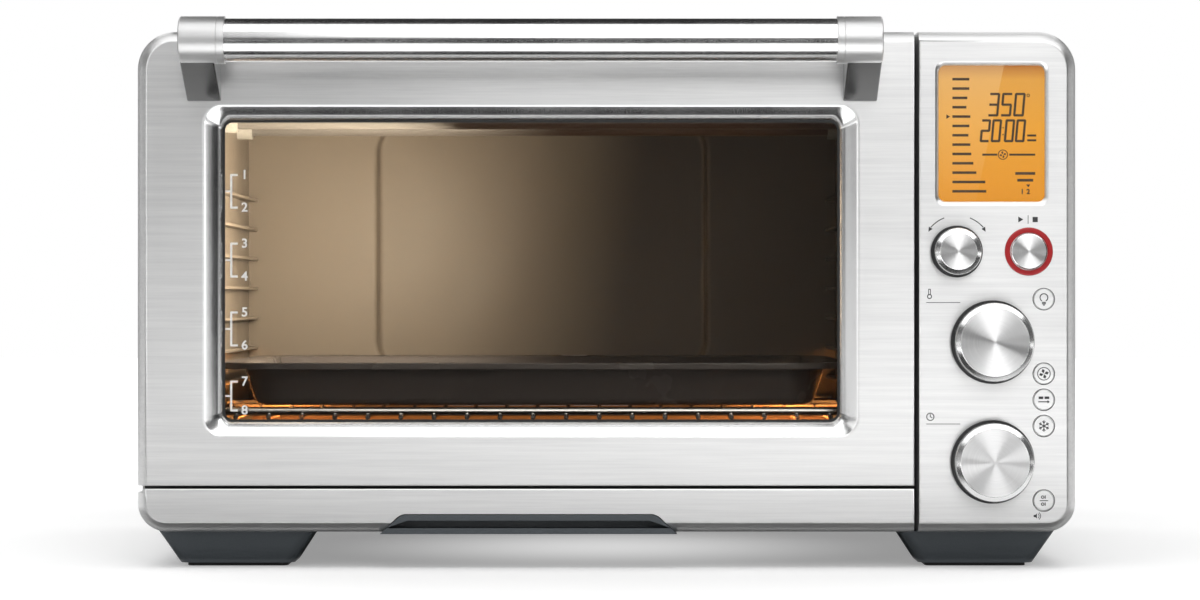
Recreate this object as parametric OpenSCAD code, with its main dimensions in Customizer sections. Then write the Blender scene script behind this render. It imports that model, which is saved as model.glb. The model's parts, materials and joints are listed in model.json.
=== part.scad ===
// Countertop air fryer oven: drop-down glass door, control panel, wire rack, roasting pan and crumb tray.
// Millimetres. +X is right, +Y is back, +Z is up. The origin is on the table, under the middle of the oven.

/* [Case] */
// Overall width of the case
case_w = 546; // [530:1:600]
// Height of the case above its feet
case_h = 291; // [285:1:320]
// Depth from the front face to the outside of the rear panel
case_d = 394; // [375:1:430]
// Corner radius at the top of the case
corner_top_r = 22; // [16:1:28]
// Corner radius at the bottom of the case
corner_bottom_r = 17; // [13:1:20]
// Thickness of the case sheet
sheet_t = 1.2; // [0.8:0.1:1.6]
// Width of the rolled edge around the front
roll_w = 6.4; // [4:0.2:8]
// Depth of the rolled edge around the front
roll_d = 8; // [5:0.5:10]
// Width of the flange inside the back of the case
rear_flange_w = 13; // [11:1:18]

/* [Feet] */
// Height of the feet, pads included
foot_h = 21; // [18:1:26]
// Width of a foot at the top
foot_top_w = 91; // [70:1:96]
// Width of a foot at the bottom
foot_bottom_w = 67; // [50:1:69]
// Depth of a foot at the top
foot_top_d = 62; // [50:1:80]
// Depth of a foot at the bottom
foot_bottom_d = 46; // [36:1:49]
// Distance from the side of the case to a foot
foot_in_x = 11; // [8:1:20]
// Distance from the front and back of the case to a foot
foot_in_y = 12; // [8:1:30]
// Corner radius of a foot
foot_r = 7; // [3:1:10]
// Thickness of the rubber pad under a foot
pad_t = 2; // [1:0.5:4]

/* [Front layout] */
// Width of the control panel
panel_w = 91.7; // [88:0.1:100]
// Gap between the door and the control panel
split_gap = 2.6; // [1.5:0.1:4]
// Height of the strip under the door
strip_h = 25.4; // [22:0.1:32]
// Gap between the door and the strip under it
seam_gap = 1.6; // [1.2:0.1:3]
// Thickness of the door, and how far the hinge line allows it to swing clear
front_t = 26; // [25:0.5:30]
// Thickness of the front skins
skin_t = 1.5; // [1:0.1:2]
// Gap behind the closed door
door_gap = 2.5; // [2:0.1:4]

/* [Door] */
// Door left edge to the glass
stile_left = 49.6; // [40:0.2:60]
// Door right edge to the glass
stile_right = 43.1; // [36:0.2:55]
// Door top edge to the glass
rail_top = 51.6; // [46:0.2:60]
// Door bottom edge to the glass
rail_bottom = 37.2; // [30:0.2:46]
// Corner radius of the glass opening
window_r = 5.5; // [3:0.5:9]
// Width of the sloped window surround, along X
slope_x = 10.5; // [6:0.5:14]
// Width of the sloped window surround, along Z
slope_z = 8.4; // [5:0.2:12]
// Depth of the glass behind the door face
window_depth = 8; // [5:0.5:9]
// Thickness of the outer glass
glass_t = 4; // [3:0.5:5]
// Thickness of the inner glass
inner_glass_t = 3; // [2.5:0.5:4]
// How far the outer glass laps behind the surround
glass_lap = 7; // [5:0.5:9]
// Thickness of the window seal
seal_t = 0.8; // [0.5:0.1:1.5]
// Width of the seal that shows inside the opening
seal_lip = 1.1; // [0.5:0.1:2]
// Thickness of the door liner sheet
liner_t = 1.5; // [1:0.1:2]
// Hinge axis in from the door's front face and up from its bottom edge
hinge_in = 7; // [6.6:0.1:8]
// Radius of a hinge pin
hinge_pin_r = 3; // [2:0.1:3.2]
// Hinge arm in from each end of the door
hinge_end = 14; // [13.8:0.1:15]
// Thickness of a hinge arm
hinge_arm_t = 3; // [2:0.5:4]

/* [Handle] */
// Door left edge to the handle
handle_left = 29.4; // [20:0.2:40]
// Door right edge to the handle
handle_right = 21.5; // [14:0.2:32]
// Handle axis in front of the door face
handle_out = 33; // [28:0.5:34]
// Handle axis below the top of the case
handle_drop = 7.8; // [4:0.2:20]
// Radius of the handle tube
tube_r = 12.5; // [10:0.1:13]
// Wall of the handle tube
tube_wall = 1.5; // [1:0.1:2.5]
// Radius of the collar around each end of the tube
collar_r = 13.6; // [13.3:0.1:15]
// Length of a collar
collar_w = 26; // [22:0.5:34]
// Width of a bracket arm
arm_w = 20; // [16:0.5:22]
// Bottom of a bracket arm below the handle axis
arm_drop = 32.8; // [28:0.2:36]

/* [Cavity] */
// Case side to the cavity wall
side_space = 29; // [27:0.5:36]
// Door right edge to the cavity wall
divider_space = 21.7; // [21:0.1:30]
// Case top to the cavity ceiling
top_space = 24; // [18:0.5:32]
// Rear panel to the cavity back wall
back_space = 34; // [28:0.5:50]
// Height of the cavity sill above the door's bottom edge
sill_h = 18; // [15:0.5:20]
// Thickness of the cavity sheet
liner_sheet = 0.8; // [0.6:0.1:1.2]
// Thickness of the frame around the cavity mouth
frame_t = 1.5; // [1:0.1:2.5]
// Top of the lowest rack rail above the sill
rail_first = 18.6; // [18.4:0.2:22]
// Height from one rack rail to the next
rail_pitch = 20; // [17:0.5:20]
// How far the rack rails stand out of the cavity walls
rail_w = 7; // [6:0.5:9]
// Depth of the pressed dish in the back wall
dish_d = 8; // [4:0.5:12]

/* [Heating and air] */
// Radius of a quartz heater tube
heater_r = 5.5; // [4:0.1:5.8]
// Height of the lower heaters above the sill
heater_low = 8.4; // [8:0.1:8.6]
// Distance of the upper heaters below the ceiling
heater_high = 18; // [12:0.5:22]
// Distance from heater to heater
heater_pitch = 92; // [70:1:105]
// Radius of the convection fan
fan_r = 54; // [40:1:60]
// Thickness of the insulation over the cavity
insulation_t = 12; // [6:0.5:16]

/* [Rack and pan] */
// Radius of the rack cross bars
bar_r = 2.5; // [2:0.1:3]
// Radius of the rack slats
slat_r = 1.5; // [1.2:0.1:1.8]
// Distance between rack slats, about
slat_pitch = 20; // [15:1:30]
// Closed door to the front of the rack
rack_front = 20; // [18:1:30]
// Height of the pan
pan_h = 26; // [18:0.5:30]
// Width of the pan's rim
pan_rim = 15.5; // [10:0.5:20]
// Wall of the pan
pan_t = 1.4; // [1:0.1:2]
// How far the pan's walls lean in from rim to floor
pan_lean = 7; // [4:0.5:12]
// Clearance between the pan's rim and the rack rails
pan_clear = 2; // [1.2:0.1:6]

/* [Crumb tray] */
// Width of the tray grip at its bottom edge
grip_bottom_w = 172.6; // [150:0.2:190]
// Width of the tray grip along its top
grip_top_w = 147.8; // [120:0.2:148]
// Height of the tray grip above the bottom of the case
grip_h = 10.2; // [9.4:0.2:12]
// How far the tray grip hangs below the case
grip_low = 1; // [0:0.1:2]
// Depth of the tray grip
grip_d = 14; // [10:0.5:18]
// Rim of the tray grip around its finger hollow
grip_rim = 3.4; // [2:0.1:4]
// Height of the crumb tray
tray_h = 7; // [5:0.1:7.5]
// Thickness of the crumb tray sheet
tray_t = 0.8; // [0.6:0.1:1.2]

/* [Controls] */
// Dials' middle, from the left edge of the control panel
dial_x = 42.4; // [40:0.2:45]
// Height of the temperature dial above the case bottom
temp_h = 110.5; // [106:0.5:114]
// Height of the time dial above the case bottom
time_h = 41.1; // [38:0.1:45]
// Radius of the temperature and time dials
dial_r = 22.7; // [18:0.1:23.5]
// How far the dials stand out
dial_out = 17; // [12:0.5:20]
// Select dial's middle, from the left edge of the control panel
select_x = 21.6; // [20:0.2:23]
// Start button's middle, from the left edge of the control panel
start_x = 63.7; // [60:0.2:66]
// Height of the select dial and start button above the case bottom
select_h = 163; // [150:0.5:180]
// Radius of the select dial
select_r = 13.5; // [11:0.1:14]
// Radius of the start button
start_r = 10.5; // [8:0.1:11]
// Outer radius of the ring around the start button
ring_r = 14; // [13:0.1:15]
// Push buttons' middle, from the left edge of the control panel
button_x = 72.4; // [71:0.2:74]
// Radius of a push button
button_r = 5.75; // [4:0.05:6]
// Gap around a push button
button_gap = 0.35; // [0.2:0.05:0.6]
// Travel of a push button
button_travel = 1; // [0.5:0.1:1.2]
// Width of the display
display_w = 61.4; // [50:0.2:64]
// Bottom of the display above the select dial's middle
display_rise = 29.1; // [27:0.1:34]
// Top of the display below the top of the case
display_drop = 20; // [17:0.5:23]
// Width of the sloped surround of the display
display_slope = 2.3; // [1:0.1:3]
// Radius of a dial's shaft
shaft_r = 3; // [2.5:0.1:3.2]

/* [Back] */
// How far the cord gland stands out of the rear panel
gland_out = 4; // [2.5:0.5:8]
// Radius of the cord gland's hole
gland_bore_r = 4; // [3:0.1:5]
// Radius of a case screw's head
screw_head_r = 3.3; // [2.6:0.1:3.8]

/* [Hidden] */

// Thickness of a slice between which a form is stretched
eps = 0.01;
// Steps along a rounded corner
arc_steps = 10;
// Steps across the rolled front edge
roll_steps = 4;
// Running clearance around a pin or shaft
fit = 0.05;
// Clearance under a piece that rests on another
lay = 0.3;
$fn = 48;

// Case limits
x_l = -case_w / 2;
x_r = case_w / 2;
z_b = foot_h;
z_t = foot_h + case_h;
reach = handle_out + collar_r;
full_d = reach + case_d + gland_out;
y_f = reach - full_d / 2;
y_r = y_f + case_d;

// Front split
x_panel = x_r - panel_w;
x_door = x_panel - split_gap;
z_strip = z_b + strip_h;
z_door = z_strip + seam_gap;
y_door_back = y_f + front_t;
y_frame = y_door_back + door_gap;
y_mouth = y_frame + frame_t;
y_back = y_r - back_space;

// Step behind the strip's top edge, into which the door's bottom edge swings
strip_step = 2.4;

// Glass opening
win_x0 = x_l + stile_left;
win_x1 = x_door - stile_right;
win_z0 = z_door + rail_bottom;
win_z1 = z_t - rail_top;
win_xm = (win_x0 + win_x1) / 2;
y_glass = y_f + window_depth + seal_t;
y_inner_glass = y_door_back - liner_t - inner_glass_t;
inner_lap = 5;
glass_side_gap = 0.2;

// Hinges
y_hinge = y_f + hinge_in;
z_hinge = z_door + hinge_in;
hinge_x0 = x_l + hinge_end;
hinge_x1 = x_door - hinge_end;
hinge_xs = [hinge_x0, hinge_x1];
hinge_arm_r = hinge_pin_r + 0.9;
hinge_side_gap = 0.6;
knuckle_t = 5.5;
knuckle_r = hinge_pin_r + 2.8;
hinge_foot_w = 6;
hinge_foot_t = 2;
hinge_foot_h = 9;

// Handle
y_handle = y_f - handle_out;
z_handle = z_t - handle_drop;
handle_x0 = x_l + handle_left;
handle_x1 = x_door - handle_right;
socket_d = 12;
arm_face_top = 4;
handle_screw_r = 2;
handle_screw_head_r = 3.8;
handle_screw_head_t = 2.4;
handle_screw_d = 10;
handle_screw_top = 13;
handle_screw_low = 25;
handle_screw_zs = [z_handle - handle_screw_top, z_handle - handle_screw_low];
handle_screw_xs = [handle_x0 + arm_w / 2, handle_x1 - arm_w / 2];

// Cavity
cav_x0 = x_l + side_space;
cav_x1 = x_door - divider_space;
cav_xm = (cav_x0 + cav_x1) / 2;
cav_ym = (y_mouth + y_back) / 2;
cav_z1 = z_t - top_space;
z_sill = z_door + sill_h;
mouth_r = 10;
rail_count = 8;
rail_t = 2;
rail_end = 5;
dish_w = 224;
dish_low = 44;
dish_high = 12;
dish_r = 18;

// Lamp, probe, fan
lamp_y = cav_ym - heater_pitch / 2;
lamp_z = cav_z1 - 36;
lamp_hole_r = 17;
lamp_lens_r = 20;
lamp_lens_t = 3;
lamp_cup_d = 22;
bulb_r = 6;
probe_y = cav_ym + heater_pitch / 2;
probe_z = cav_z1 - 8;
probe_r = 2;
probe_len = 60;
probe_flange_r = 5;
fan_y = cav_ym;
fan_z = z_sill + 106;
fan_cup_r = fan_r + 7;
fan_cup_x = x_panel - sheet_t - 4;
fan_shaft_r = 2.5;
fan_hub_r = 8;
fan_blades = 9;
fan_blade_t = 1.6;
motor_r = 28;
motor_len = 34;
vent_hole_r = 2.5;
vent_ring = 11;

// Heaters
heater_ys = [cav_ym - heater_pitch, cav_ym, cav_ym + heater_pitch];
heater_low_z = z_sill + heater_low;
heater_high_z = cav_z1 - heater_high;
cap_r = heater_r + 2.2;
cap_len = 10;
cap_floor = 3;

// Rack and pan
rack_y0 = y_door_back + rack_front;
rack_y1 = y_back - 6;
rack_side = 4.5;
rack_x0 = cav_x0 + rack_side;
rack_x1 = cav_x1 - rack_side;
slat_gaps = round((rack_x1 - rack_x0) / slat_pitch);
z_rail = z_sill + rail_first;
z_slat = z_rail + lay + slat_r;
weld = 0.7;
z_bar = z_slat + slat_r + bar_r - weld;
bar_in = 3.5;
pan_x0 = cav_x0 + rail_w + pan_clear;
pan_x1 = cav_x1 - rail_w - pan_clear;
pan_y0 = rack_y0 + 6;
pan_y1 = rack_y1 - 8;
pan_z0 = z_bar + bar_r + lay;
pan_z1 = pan_z0 + pan_h;
pan_rim_r = 40;
pan_lip_h = 4;

// Crumb tray
grip_xm = win_xm - 1.4;
grip_r = 8;
grip_gap = 0.5;
tray_in = 7;
tray_x0 = grip_xm - grip_top_w / 2 + tray_in;
tray_x1 = grip_xm + grip_top_w / 2 - tray_in;
tray_y0 = y_f + grip_d;
tray_y1 = y_back - 6;
tray_z0 = z_b + sheet_t + lay;
tray_z1 = tray_z0 + tray_h;
guide_gap = 1;
guide_t = 1.2;
guide_h = 6;
z_chute = tray_z1 + 3;
chute_lap = 4;

// Control panel, depths counted from the front face
dial_xm = x_panel + dial_x;
select_xm = x_panel + select_x;
start_xm = x_panel + start_x;
button_xm = x_panel + button_x;
light_drop = 27.6;
fan_button_drop = 18.4;
phase_drop = 33.5;
frozen_drop = 48.7;
unit_drop = 22.6;
temp_z = z_b + temp_h;
time_z = z_b + time_h;
select_z = z_b + select_h;
light_z = select_z - light_drop;
fan_button_z = temp_z - fan_button_drop;
phase_z = temp_z - phase_drop;
frozen_z = temp_z - frozen_drop;
unit_z = time_z - unit_drop;
button_zs = [light_z, fan_button_z, phase_z, frozen_z, unit_z];
disp_x0 = dial_xm - display_w / 2;
disp_x1 = dial_xm + display_w / 2;
disp_z1 = z_t - display_drop;
disp_z0 = select_z + display_rise;
disp_r = 4;
disp_depth = 2.2;
lens_lap = 2.5;
lens_t = 2;
lcd_t = 6;
board_depth = 17;
y_board = y_f + board_depth;
board_t = 1.6;
board_in_l = 5;
board_in_r = 12;
board_in_b = 4;
board_in_t = 6;
boss_r = 2.5;
boss_spots = [[x_panel + 9, z_b + 7], [x_r - 17, z_b + 7], [x_panel + 9, z_t - 10], [x_r - 17, z_t - 10]];
encoder_w = 12;
encoder_t = 7;
bush_r = shaft_r + 1.2;
shaft_hole_r = shaft_r + 1;
key_w = 6;
key_t = 4;
key_pin_r = 1.7;
key_pin_t = 1.7;
dial_gap = 1.8;
skirt_w = 1.5;
skirt_t = 2.5;
dial_bevel_w = 2.9;
dial_bevel_t = 2;
select_out = dial_out - 2;
shaft_in = 14;
select_shaft_in = 12.5;
plunger_t = 1;
plunger_gap = 0.1;
ring_out = 1.2;
ring_spigot_r = ring_r - 1.4;
ring_spigot_t = 4;
start_gap = 0.4;
start_out = 3;
start_flange_w = 1.4;
start_flange_t = 1.2;
button_out = 0.7;
button_flange_w = 1.3;
button_flange_t = 1.5;
button_stem_r = 1.8;
seat_gap = 0.05;
stem_end = board_depth - key_t - key_pin_t - button_travel - lay;

// Boards at the back of the control space
power_gap = 18;
power_back_gap = 26;
power_rise = 40;
power_h = 160;
power_in = 9;
power_y0 = fan_y + motor_r + power_gap;
power_y1 = y_r - power_back_gap;
power_z0 = z_b + power_rise;
power_z1 = power_z0 + power_h;
power_x = x_panel + power_in;
power_post_r = 3;
power_post_in = 8;
relay_w = 20;
relay_h = 24;
relay_t = 16;
relay_in = 14;
relay_drop = 40;
relay_pitch = 30;
core_w = 42;
core_h = 40;
core_t = 34;
core_in = 24;
core_rise = 12;

// Back
gland_x = x_r - 46;
gland_z = z_b + 42;
gland_r = 11;
gland_neck_r = gland_bore_r + 4;
gland_nut_t = 5;
screw_r = 1.7;
screw_len = 8;
screw_head_t = 1.8;
screw_in = rear_flange_w / 2;
screw_low = 60;
screw_mid = 150;
screw_drop = 50;
screw_x = 130;
screw_spots = [[x_l + screw_in, z_b + screw_low], [x_l + screw_in, z_b + screw_mid],
    [x_l + screw_in, z_t - screw_drop], [x_r - screw_in, z_b + screw_low], [x_r - screw_in, z_b + screw_mid],
    [x_r - screw_in, z_t - screw_drop], [-screw_x, z_t - screw_in], [screw_x, z_t - screw_in]];

// Vent slots
slot_w = 4;
slot_pitch = 9;
rear_slot_len = 64;
rear_slot_xs = [-182, -104, -26, 52];
rear_slot_rows = 8;
rear_slot_drop = 40;
side_slot_len = 44;
side_slot_rows = 9;
side_slot_ys = [y_r - 120, y_r - 66];
side_slot_rise = 40;
base_slot_len = 60;
base_slot_rows = 7;
base_slot_ys = [cav_ym - 40, cav_ym + 40];

// Bumper
bumper_r = 5;
bumper_in = 15;
bumper_drop = 40;

// Colours
steel = [0.80, 0.80, 0.79];
dark_steel = [0.32, 0.32, 0.33];
bright = [0.88, 0.88, 0.88];
slate = [0.23, 0.25, 0.27];
black = [0.05, 0.05, 0.05];
glass = [0.35, 0.32, 0.28, 0.4];
quartz = [0.95, 0.55, 0.25];
ceramic = [0.92, 0.90, 0.84];
green = [0.10, 0.35, 0.18];
red = [0.80, 0.06, 0.07];
enamel = [0.16, 0.17, 0.19];
cream = [0.85, 0.82, 0.70];

// Points along an arc
function arc(c, r, a0, a1) =
    [for (i = [0:arc_steps]) let (a = a0 + (a1 - a0) * i / arc_steps) c + r * [cos(a), sin(a)]];

// Rounded rectangle
function rounded(x0, z0, x1, z1, r) = concat(
    arc([x1 - r, z1 - r], r, 0, 90), arc([x0 + r, z1 - r], r, 90, 180),
    arc([x0 + r, z0 + r], r, 180, 270), arc([x1 - r, z0 + r], r, 270, 360));

// Front outline of the case, drawn in by an inset
function case_points(inset) = let (rt = corner_top_r - inset, rb = corner_bottom_r - inset) concat(
    arc([x_r - corner_top_r, z_t - corner_top_r], rt, 0, 90),
    arc([x_l + corner_top_r, z_t - corner_top_r], rt, 90, 180),
    arc([x_l + corner_bottom_r, z_b + corner_bottom_r], rb, 180, 270),
    arc([x_r - corner_bottom_r, z_b + corner_bottom_r], rb, 270, 360));

// Outline of the crumb tray's grip, grown by a gap: sloped ends with rounded upper corners
function grip_points(gap) =
    let (zt = z_b + grip_h + gap, zb = z_b - grip_low - gap, r = grip_r + gap,
        lean = atan2(zt - zb, (grip_bottom_w - grip_top_w) / 2), t = r * tan(lean / 2))
    concat(
        [[grip_xm - grip_bottom_w / 2 - gap, zb], [grip_xm + grip_bottom_w / 2 + gap, zb]],
        arc([grip_xm + grip_top_w / 2 + gap - t, zt - r], r, 90 - lean, 90),
        arc([grip_xm - grip_top_w / 2 - gap + t, zt - r], r, 90, 90 + lean));

// Stretches an outline drawn in X and Z from y0 to y1
module along_y(y0, y1) {
    translate([0, y1, 0]) rotate([90, 0, 0]) linear_extrude(y1 - y0) children();
}

// Stretches an outline drawn in Y and Z from x0 to x1
module along_x(x0, x1) {
    translate([x0, 0, 0]) rotate([90, 0, 90]) linear_extrude(x1 - x0) children();
}

// Block between two corners
module block(a, b) {
    translate(a) cube(b - a);
}

// Flat rectangle between two corners
module sheet(x0, z0, x1, z1) {
    translate([x0, z0]) square([x1 - x0, z1 - z0]);
}

// Round bar along X
module rod_x(y, z, x0, x1, r) {
    translate([x0, y, z]) rotate([0, 90, 0]) cylinder(r = r, h = x1 - x0);
}

// Round bar along Y
module rod_y(x, z, y0, y1, r) {
    translate([x, y1, z]) rotate([90, 0, 0]) cylinder(r = r, h = y1 - y0);
}

// Slot with round ends, along the first axis
module slot(len, w) {
    square([len - w, w], center = true);
    for (s = [-1, 1]) translate([s * (len - w) / 2, 0]) circle(d = w);
}

// Solid through outlines of equal point counts, each drawn in X and Z at its own y
module loft(ys, loops) {
    n = len(loops[0]);
    last = len(ys) - 1;
    polyhedron(
        points = [for (j = [0:last], p = loops[j]) [p[0], ys[j], p[1]]],
        faces = concat(
            [[for (i = [n - 1:-1:0]) i]],
            [for (j = [0:last - 1], i = [0:n - 1]) let (k = (i + 1) % n)
                [j * n + i, j * n + k, (j + 1) * n + k, (j + 1) * n + i]],
            [[for (i = [0:n - 1]) last * n + i]]));
}

// Depths and insets of the rolled front edge, from the face to the back of a front block
function roll_ys(y0, y1) =
    concat([for (i = [0:roll_steps]) y0 + roll_d * (1 - cos(90 * i / roll_steps))], [y1]);
function roll_insets(inset) =
    concat([for (i = [0:roll_steps]) inset + roll_w * (1 - sin(90 * i / roll_steps))], [inset]);

// Outlines of the three front blocks: outer edges drawn in by an inset, inner edges by a cut
function door_loop(inset, cut) = concat(
    [[x_l + inset, z_door + cut], [x_door - cut, z_door + cut], [x_door - cut, z_t - inset]],
    arc([x_l + corner_top_r, z_t - corner_top_r], corner_top_r - inset, 90, 180));
function strip_loop(inset, cut, top) = concat(
    arc([x_l + corner_bottom_r, z_b + corner_bottom_r], corner_bottom_r - inset, 180, 270),
    [[x_door - cut, z_b + inset], [x_door - cut, top], [x_l + inset, top]]);
function panel_loop(inset, cut) = concat(
    [[x_panel + cut, z_b + inset]],
    arc([x_r - corner_bottom_r, z_b + corner_bottom_r], corner_bottom_r - inset, 270, 360),
    arc([x_r - corner_top_r, z_t - corner_top_r], corner_top_r - inset, 0, 90),
    [[x_panel + cut, z_t - inset]]);

module door_block(y0, y1, inset) {
    loft(roll_ys(y0, y1), [for (i = roll_insets(inset)) door_loop(i, inset)]);
}

module strip_block(y0, y1, inset, top) {
    loft(roll_ys(y0, y1), [for (i = roll_insets(inset)) strip_loop(i, inset, top)]);
}

module panel_block(y0, y1, inset) {
    loft(roll_ys(y0, y1), [for (i = roll_insets(inset)) panel_loop(i, inset)]);
}

// Sloped surround that narrows from the face at y_f to a rounded opening at a depth, cut from t0 to t1
module surround(x0, z0, x1, z1, r, sx, sz, depth, t0, t1, grow) {
    loft([y_f + t0, y_f + t1], [for (t = [t0, t1])
        let (gx = sx * (1 - t / depth) + grow, gz = sz * (1 - t / depth) + grow)
            rounded(x0 - gx, z0 - gz, x1 + gx, z1 + gz, r + gx / 2)]);
}

// Surround of the glass in the door
module window_surround(t0, t1, grow) {
    surround(win_x0, win_z0, win_x1, win_z1, window_r, slope_x, slope_z, window_depth, t0, t1, grow);
}

// Surround of the display in the control panel
module display_surround(t0, t1, grow) {
    surround(disp_x0, disp_z0, disp_x1, disp_z1, disp_r, display_slope, display_slope, disp_depth, t0, t1, grow);
}

// Space that a hinge arm sweeps inside the door
module hinge_sweep() {
    half = hinge_arm_t / 2 + hinge_side_gap;
    for (x = hinge_xs)
        block([x - half, y_hinge - hinge_arm_r - hinge_side_gap, z_door - 1],
            [x + half, y_door_back + 1, z_hinge + hinge_arm_r + hinge_side_gap]);
}

module outer_wrap() {
    color(steel) difference() {
        union() {
            along_y(y_frame, y_r) difference() {
                polygon(case_points(0));
                polygon(case_points(sheet_t));
                sheet(x_l + corner_bottom_r, z_b - 1, x_r - corner_bottom_r, z_b + 2 * sheet_t);
            }
            along_y(y_r - 2 * sheet_t, y_r - sheet_t) difference() {
                polygon(case_points(0));
                polygon(case_points(rear_flange_w));
                sheet(x_l - 1, z_b - 1, x_r + 1, z_b + corner_bottom_r);
            }
        }
        for (p = screw_spots) rod_y(p[0], p[1], y_r - 3 * sheet_t, y_r, screw_r + fit);
        for (y = side_slot_ys, i = [0:side_slot_rows - 1], x = [x_l, x_r])
            translate([0, y, z_b + side_slot_rise + i * slot_pitch])
                along_x(x - 2 * sheet_t, x + 2 * sheet_t) slot(side_slot_len, slot_w);
    }
}

module rear_panel() {
    color(dark_steel) along_y(y_r - sheet_t, y_r) difference() {
        polygon(case_points(sheet_t));
        for (p = screw_spots) translate(p) circle(r = screw_r + fit);
        translate([gland_x, gland_z]) circle(r = gland_neck_r + fit);
        for (x = rear_slot_xs, i = [0:rear_slot_rows - 1])
            translate([x, z_t - rear_slot_drop - i * slot_pitch]) slot(rear_slot_len, slot_w);
    }
}

module base_pan() {
    color(dark_steel) {
        difference() {
            block([x_l + corner_bottom_r, y_frame, z_b], [x_r - corner_bottom_r, y_r, z_b + sheet_t]);
            for (y = base_slot_ys, i = [0:base_slot_rows - 1])
                translate([x_panel + slot_pitch * (i + 1), y, z_b - 1]) rotate(90)
                    linear_extrude(sheet_t + 2) slot(base_slot_len, slot_w);
        }
        for (x = [tray_x0 - guide_gap - guide_t, tray_x1 + guide_gap])
            block([x, y_mouth, z_b + sheet_t - eps], [x + guide_t, tray_y1, z_b + sheet_t + guide_h]);
    }
}

module front_frame() {
    half = hinge_arm_t / 2 + fit;
    color(dark_steel) difference() {
        along_y(y_frame, y_mouth) difference() {
            intersection() {
                polygon(case_points(sheet_t));
                sheet(x_l, z_b, x_panel, z_t);
            }
            polygon(rounded(cav_x0, z_sill, cav_x1, cav_z1, mouth_r));
            sheet(tray_x0 - guide_gap, z_b, tray_x1 + guide_gap, tray_z1 + guide_gap);
        }
        for (x = hinge_xs)
            block([x - half, y_frame - 1, z_hinge - hinge_arm_r - fit],
                [x + half, y_mouth + 1, z_hinge + hinge_arm_r + fit]);
    }
}

module lower_strip() {
    color(steel) difference() {
        strip_block(y_f, y_frame, 0, z_strip);
        strip_block(y_f + skin_t, y_frame + 1, skin_t, z_strip - strip_step - skin_t);
        block([x_l - 1, y_f + skin_t, z_strip - strip_step], [x_door + 1, y_frame + 1, z_strip + 1]);
        along_y(y_f - 1, y_frame + 1) polygon(grip_points(grip_gap));
    }
}

module control_panel() {
    color(steel) difference() {
        panel_block(y_f, y_frame, 0);
        difference() {
            panel_block(y_f + skin_t, y_frame + 1, skin_t);
            display_surround(0, disp_depth, skin_t);
            for (p = boss_spots) rod_y(p[0], p[1], y_f, y_board, boss_r);
        }
        display_surround(-1, disp_depth + 1, 0);
        for (z = [temp_z, time_z]) rod_y(dial_xm, z, y_f - 1, y_f + 2 * skin_t, shaft_hole_r);
        rod_y(select_xm, select_z, y_f - 1, y_f + 2 * skin_t, shaft_hole_r);
        rod_y(start_xm, select_z, y_f - 1, y_f + 2 * skin_t, ring_spigot_r + fit);
        for (z = button_zs) rod_y(button_xm, z, y_f - 1, y_f + 2 * skin_t, button_r + button_gap);
    }
}

module control_bulkhead() {
    color(dark_steel) difference() {
        block([x_panel - sheet_t, y_mouth, z_b + sheet_t], [x_panel, y_r - 2 * sheet_t, z_t - sheet_t]);
        rod_x(fan_y, fan_z, x_panel - 2 * sheet_t, x_panel + sheet_t, fan_shaft_r + 1);
    }
}

module foot(x, y) {
    hull() {
        translate([x, y, z_b - eps]) linear_extrude(eps)
            polygon(rounded(-foot_top_w / 2, -foot_top_d / 2, foot_top_w / 2, foot_top_d / 2, foot_r));
        translate([x, y, pad_t]) linear_extrude(eps)
            polygon(rounded(-foot_bottom_w / 2, -foot_bottom_d / 2, foot_bottom_w / 2, foot_bottom_d / 2, foot_r));
    }
}

// Middles of the four feet
foot_xs = [x_l + foot_in_x + foot_top_w / 2, x_r - foot_in_x - foot_top_w / 2];
foot_ys = [y_f + foot_in_y + foot_top_d / 2, y_r - foot_in_y - foot_top_d / 2];

module feet() {
    color(slate) for (x = foot_xs, y = foot_ys) foot(x, y);
}

module foot_pads() {
    pad_in = 4;
    color(black) for (x = foot_xs, y = foot_ys) translate([x, y, 0]) linear_extrude(pad_t)
        polygon(rounded(pad_in - foot_bottom_w / 2, pad_in - foot_bottom_d / 2,
            foot_bottom_w / 2 - pad_in, foot_bottom_d / 2 - pad_in, foot_r / 2));
}

module cavity_left_wall() {
    color(cream) difference() {
        block([cav_x0 - liner_sheet, y_mouth, z_sill], [cav_x0, y_back, cav_z1]);
        rod_x(lamp_y, lamp_z, cav_x0 - 2 * liner_sheet, cav_x0 + 1, lamp_hole_r);
    }
}

module cavity_right_wall() {
    color(cream) difference() {
        block([cav_x1, y_mouth, z_sill], [cav_x1 + liner_sheet, y_back, cav_z1]);
        for (k = [1:3], i = [0:6 * k - 1])
            rod_x(fan_y + k * vent_ring * cos(60 * i / k), fan_z + k * vent_ring * sin(60 * i / k),
                cav_x1 - 1, cav_x1 + 2 * liner_sheet, vent_hole_r);
    }
}

// Rails along the inside of both cavity walls
module rack_rails() {
    color(cream) for (i = [0:rail_count - 1], x = [cav_x0, cav_x1 - rail_w])
        block([x, y_mouth + rail_end, z_rail + i * rail_pitch - rail_t],
            [x + rail_w, y_back - rail_end, z_rail + i * rail_pitch]);
}

module cavity_ceiling() {
    color(cream) block([cav_x0 - liner_sheet, y_mouth, cav_z1],
        [cav_x1 + liner_sheet, y_back + liner_sheet, cav_z1 + liner_sheet]);
}

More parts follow.
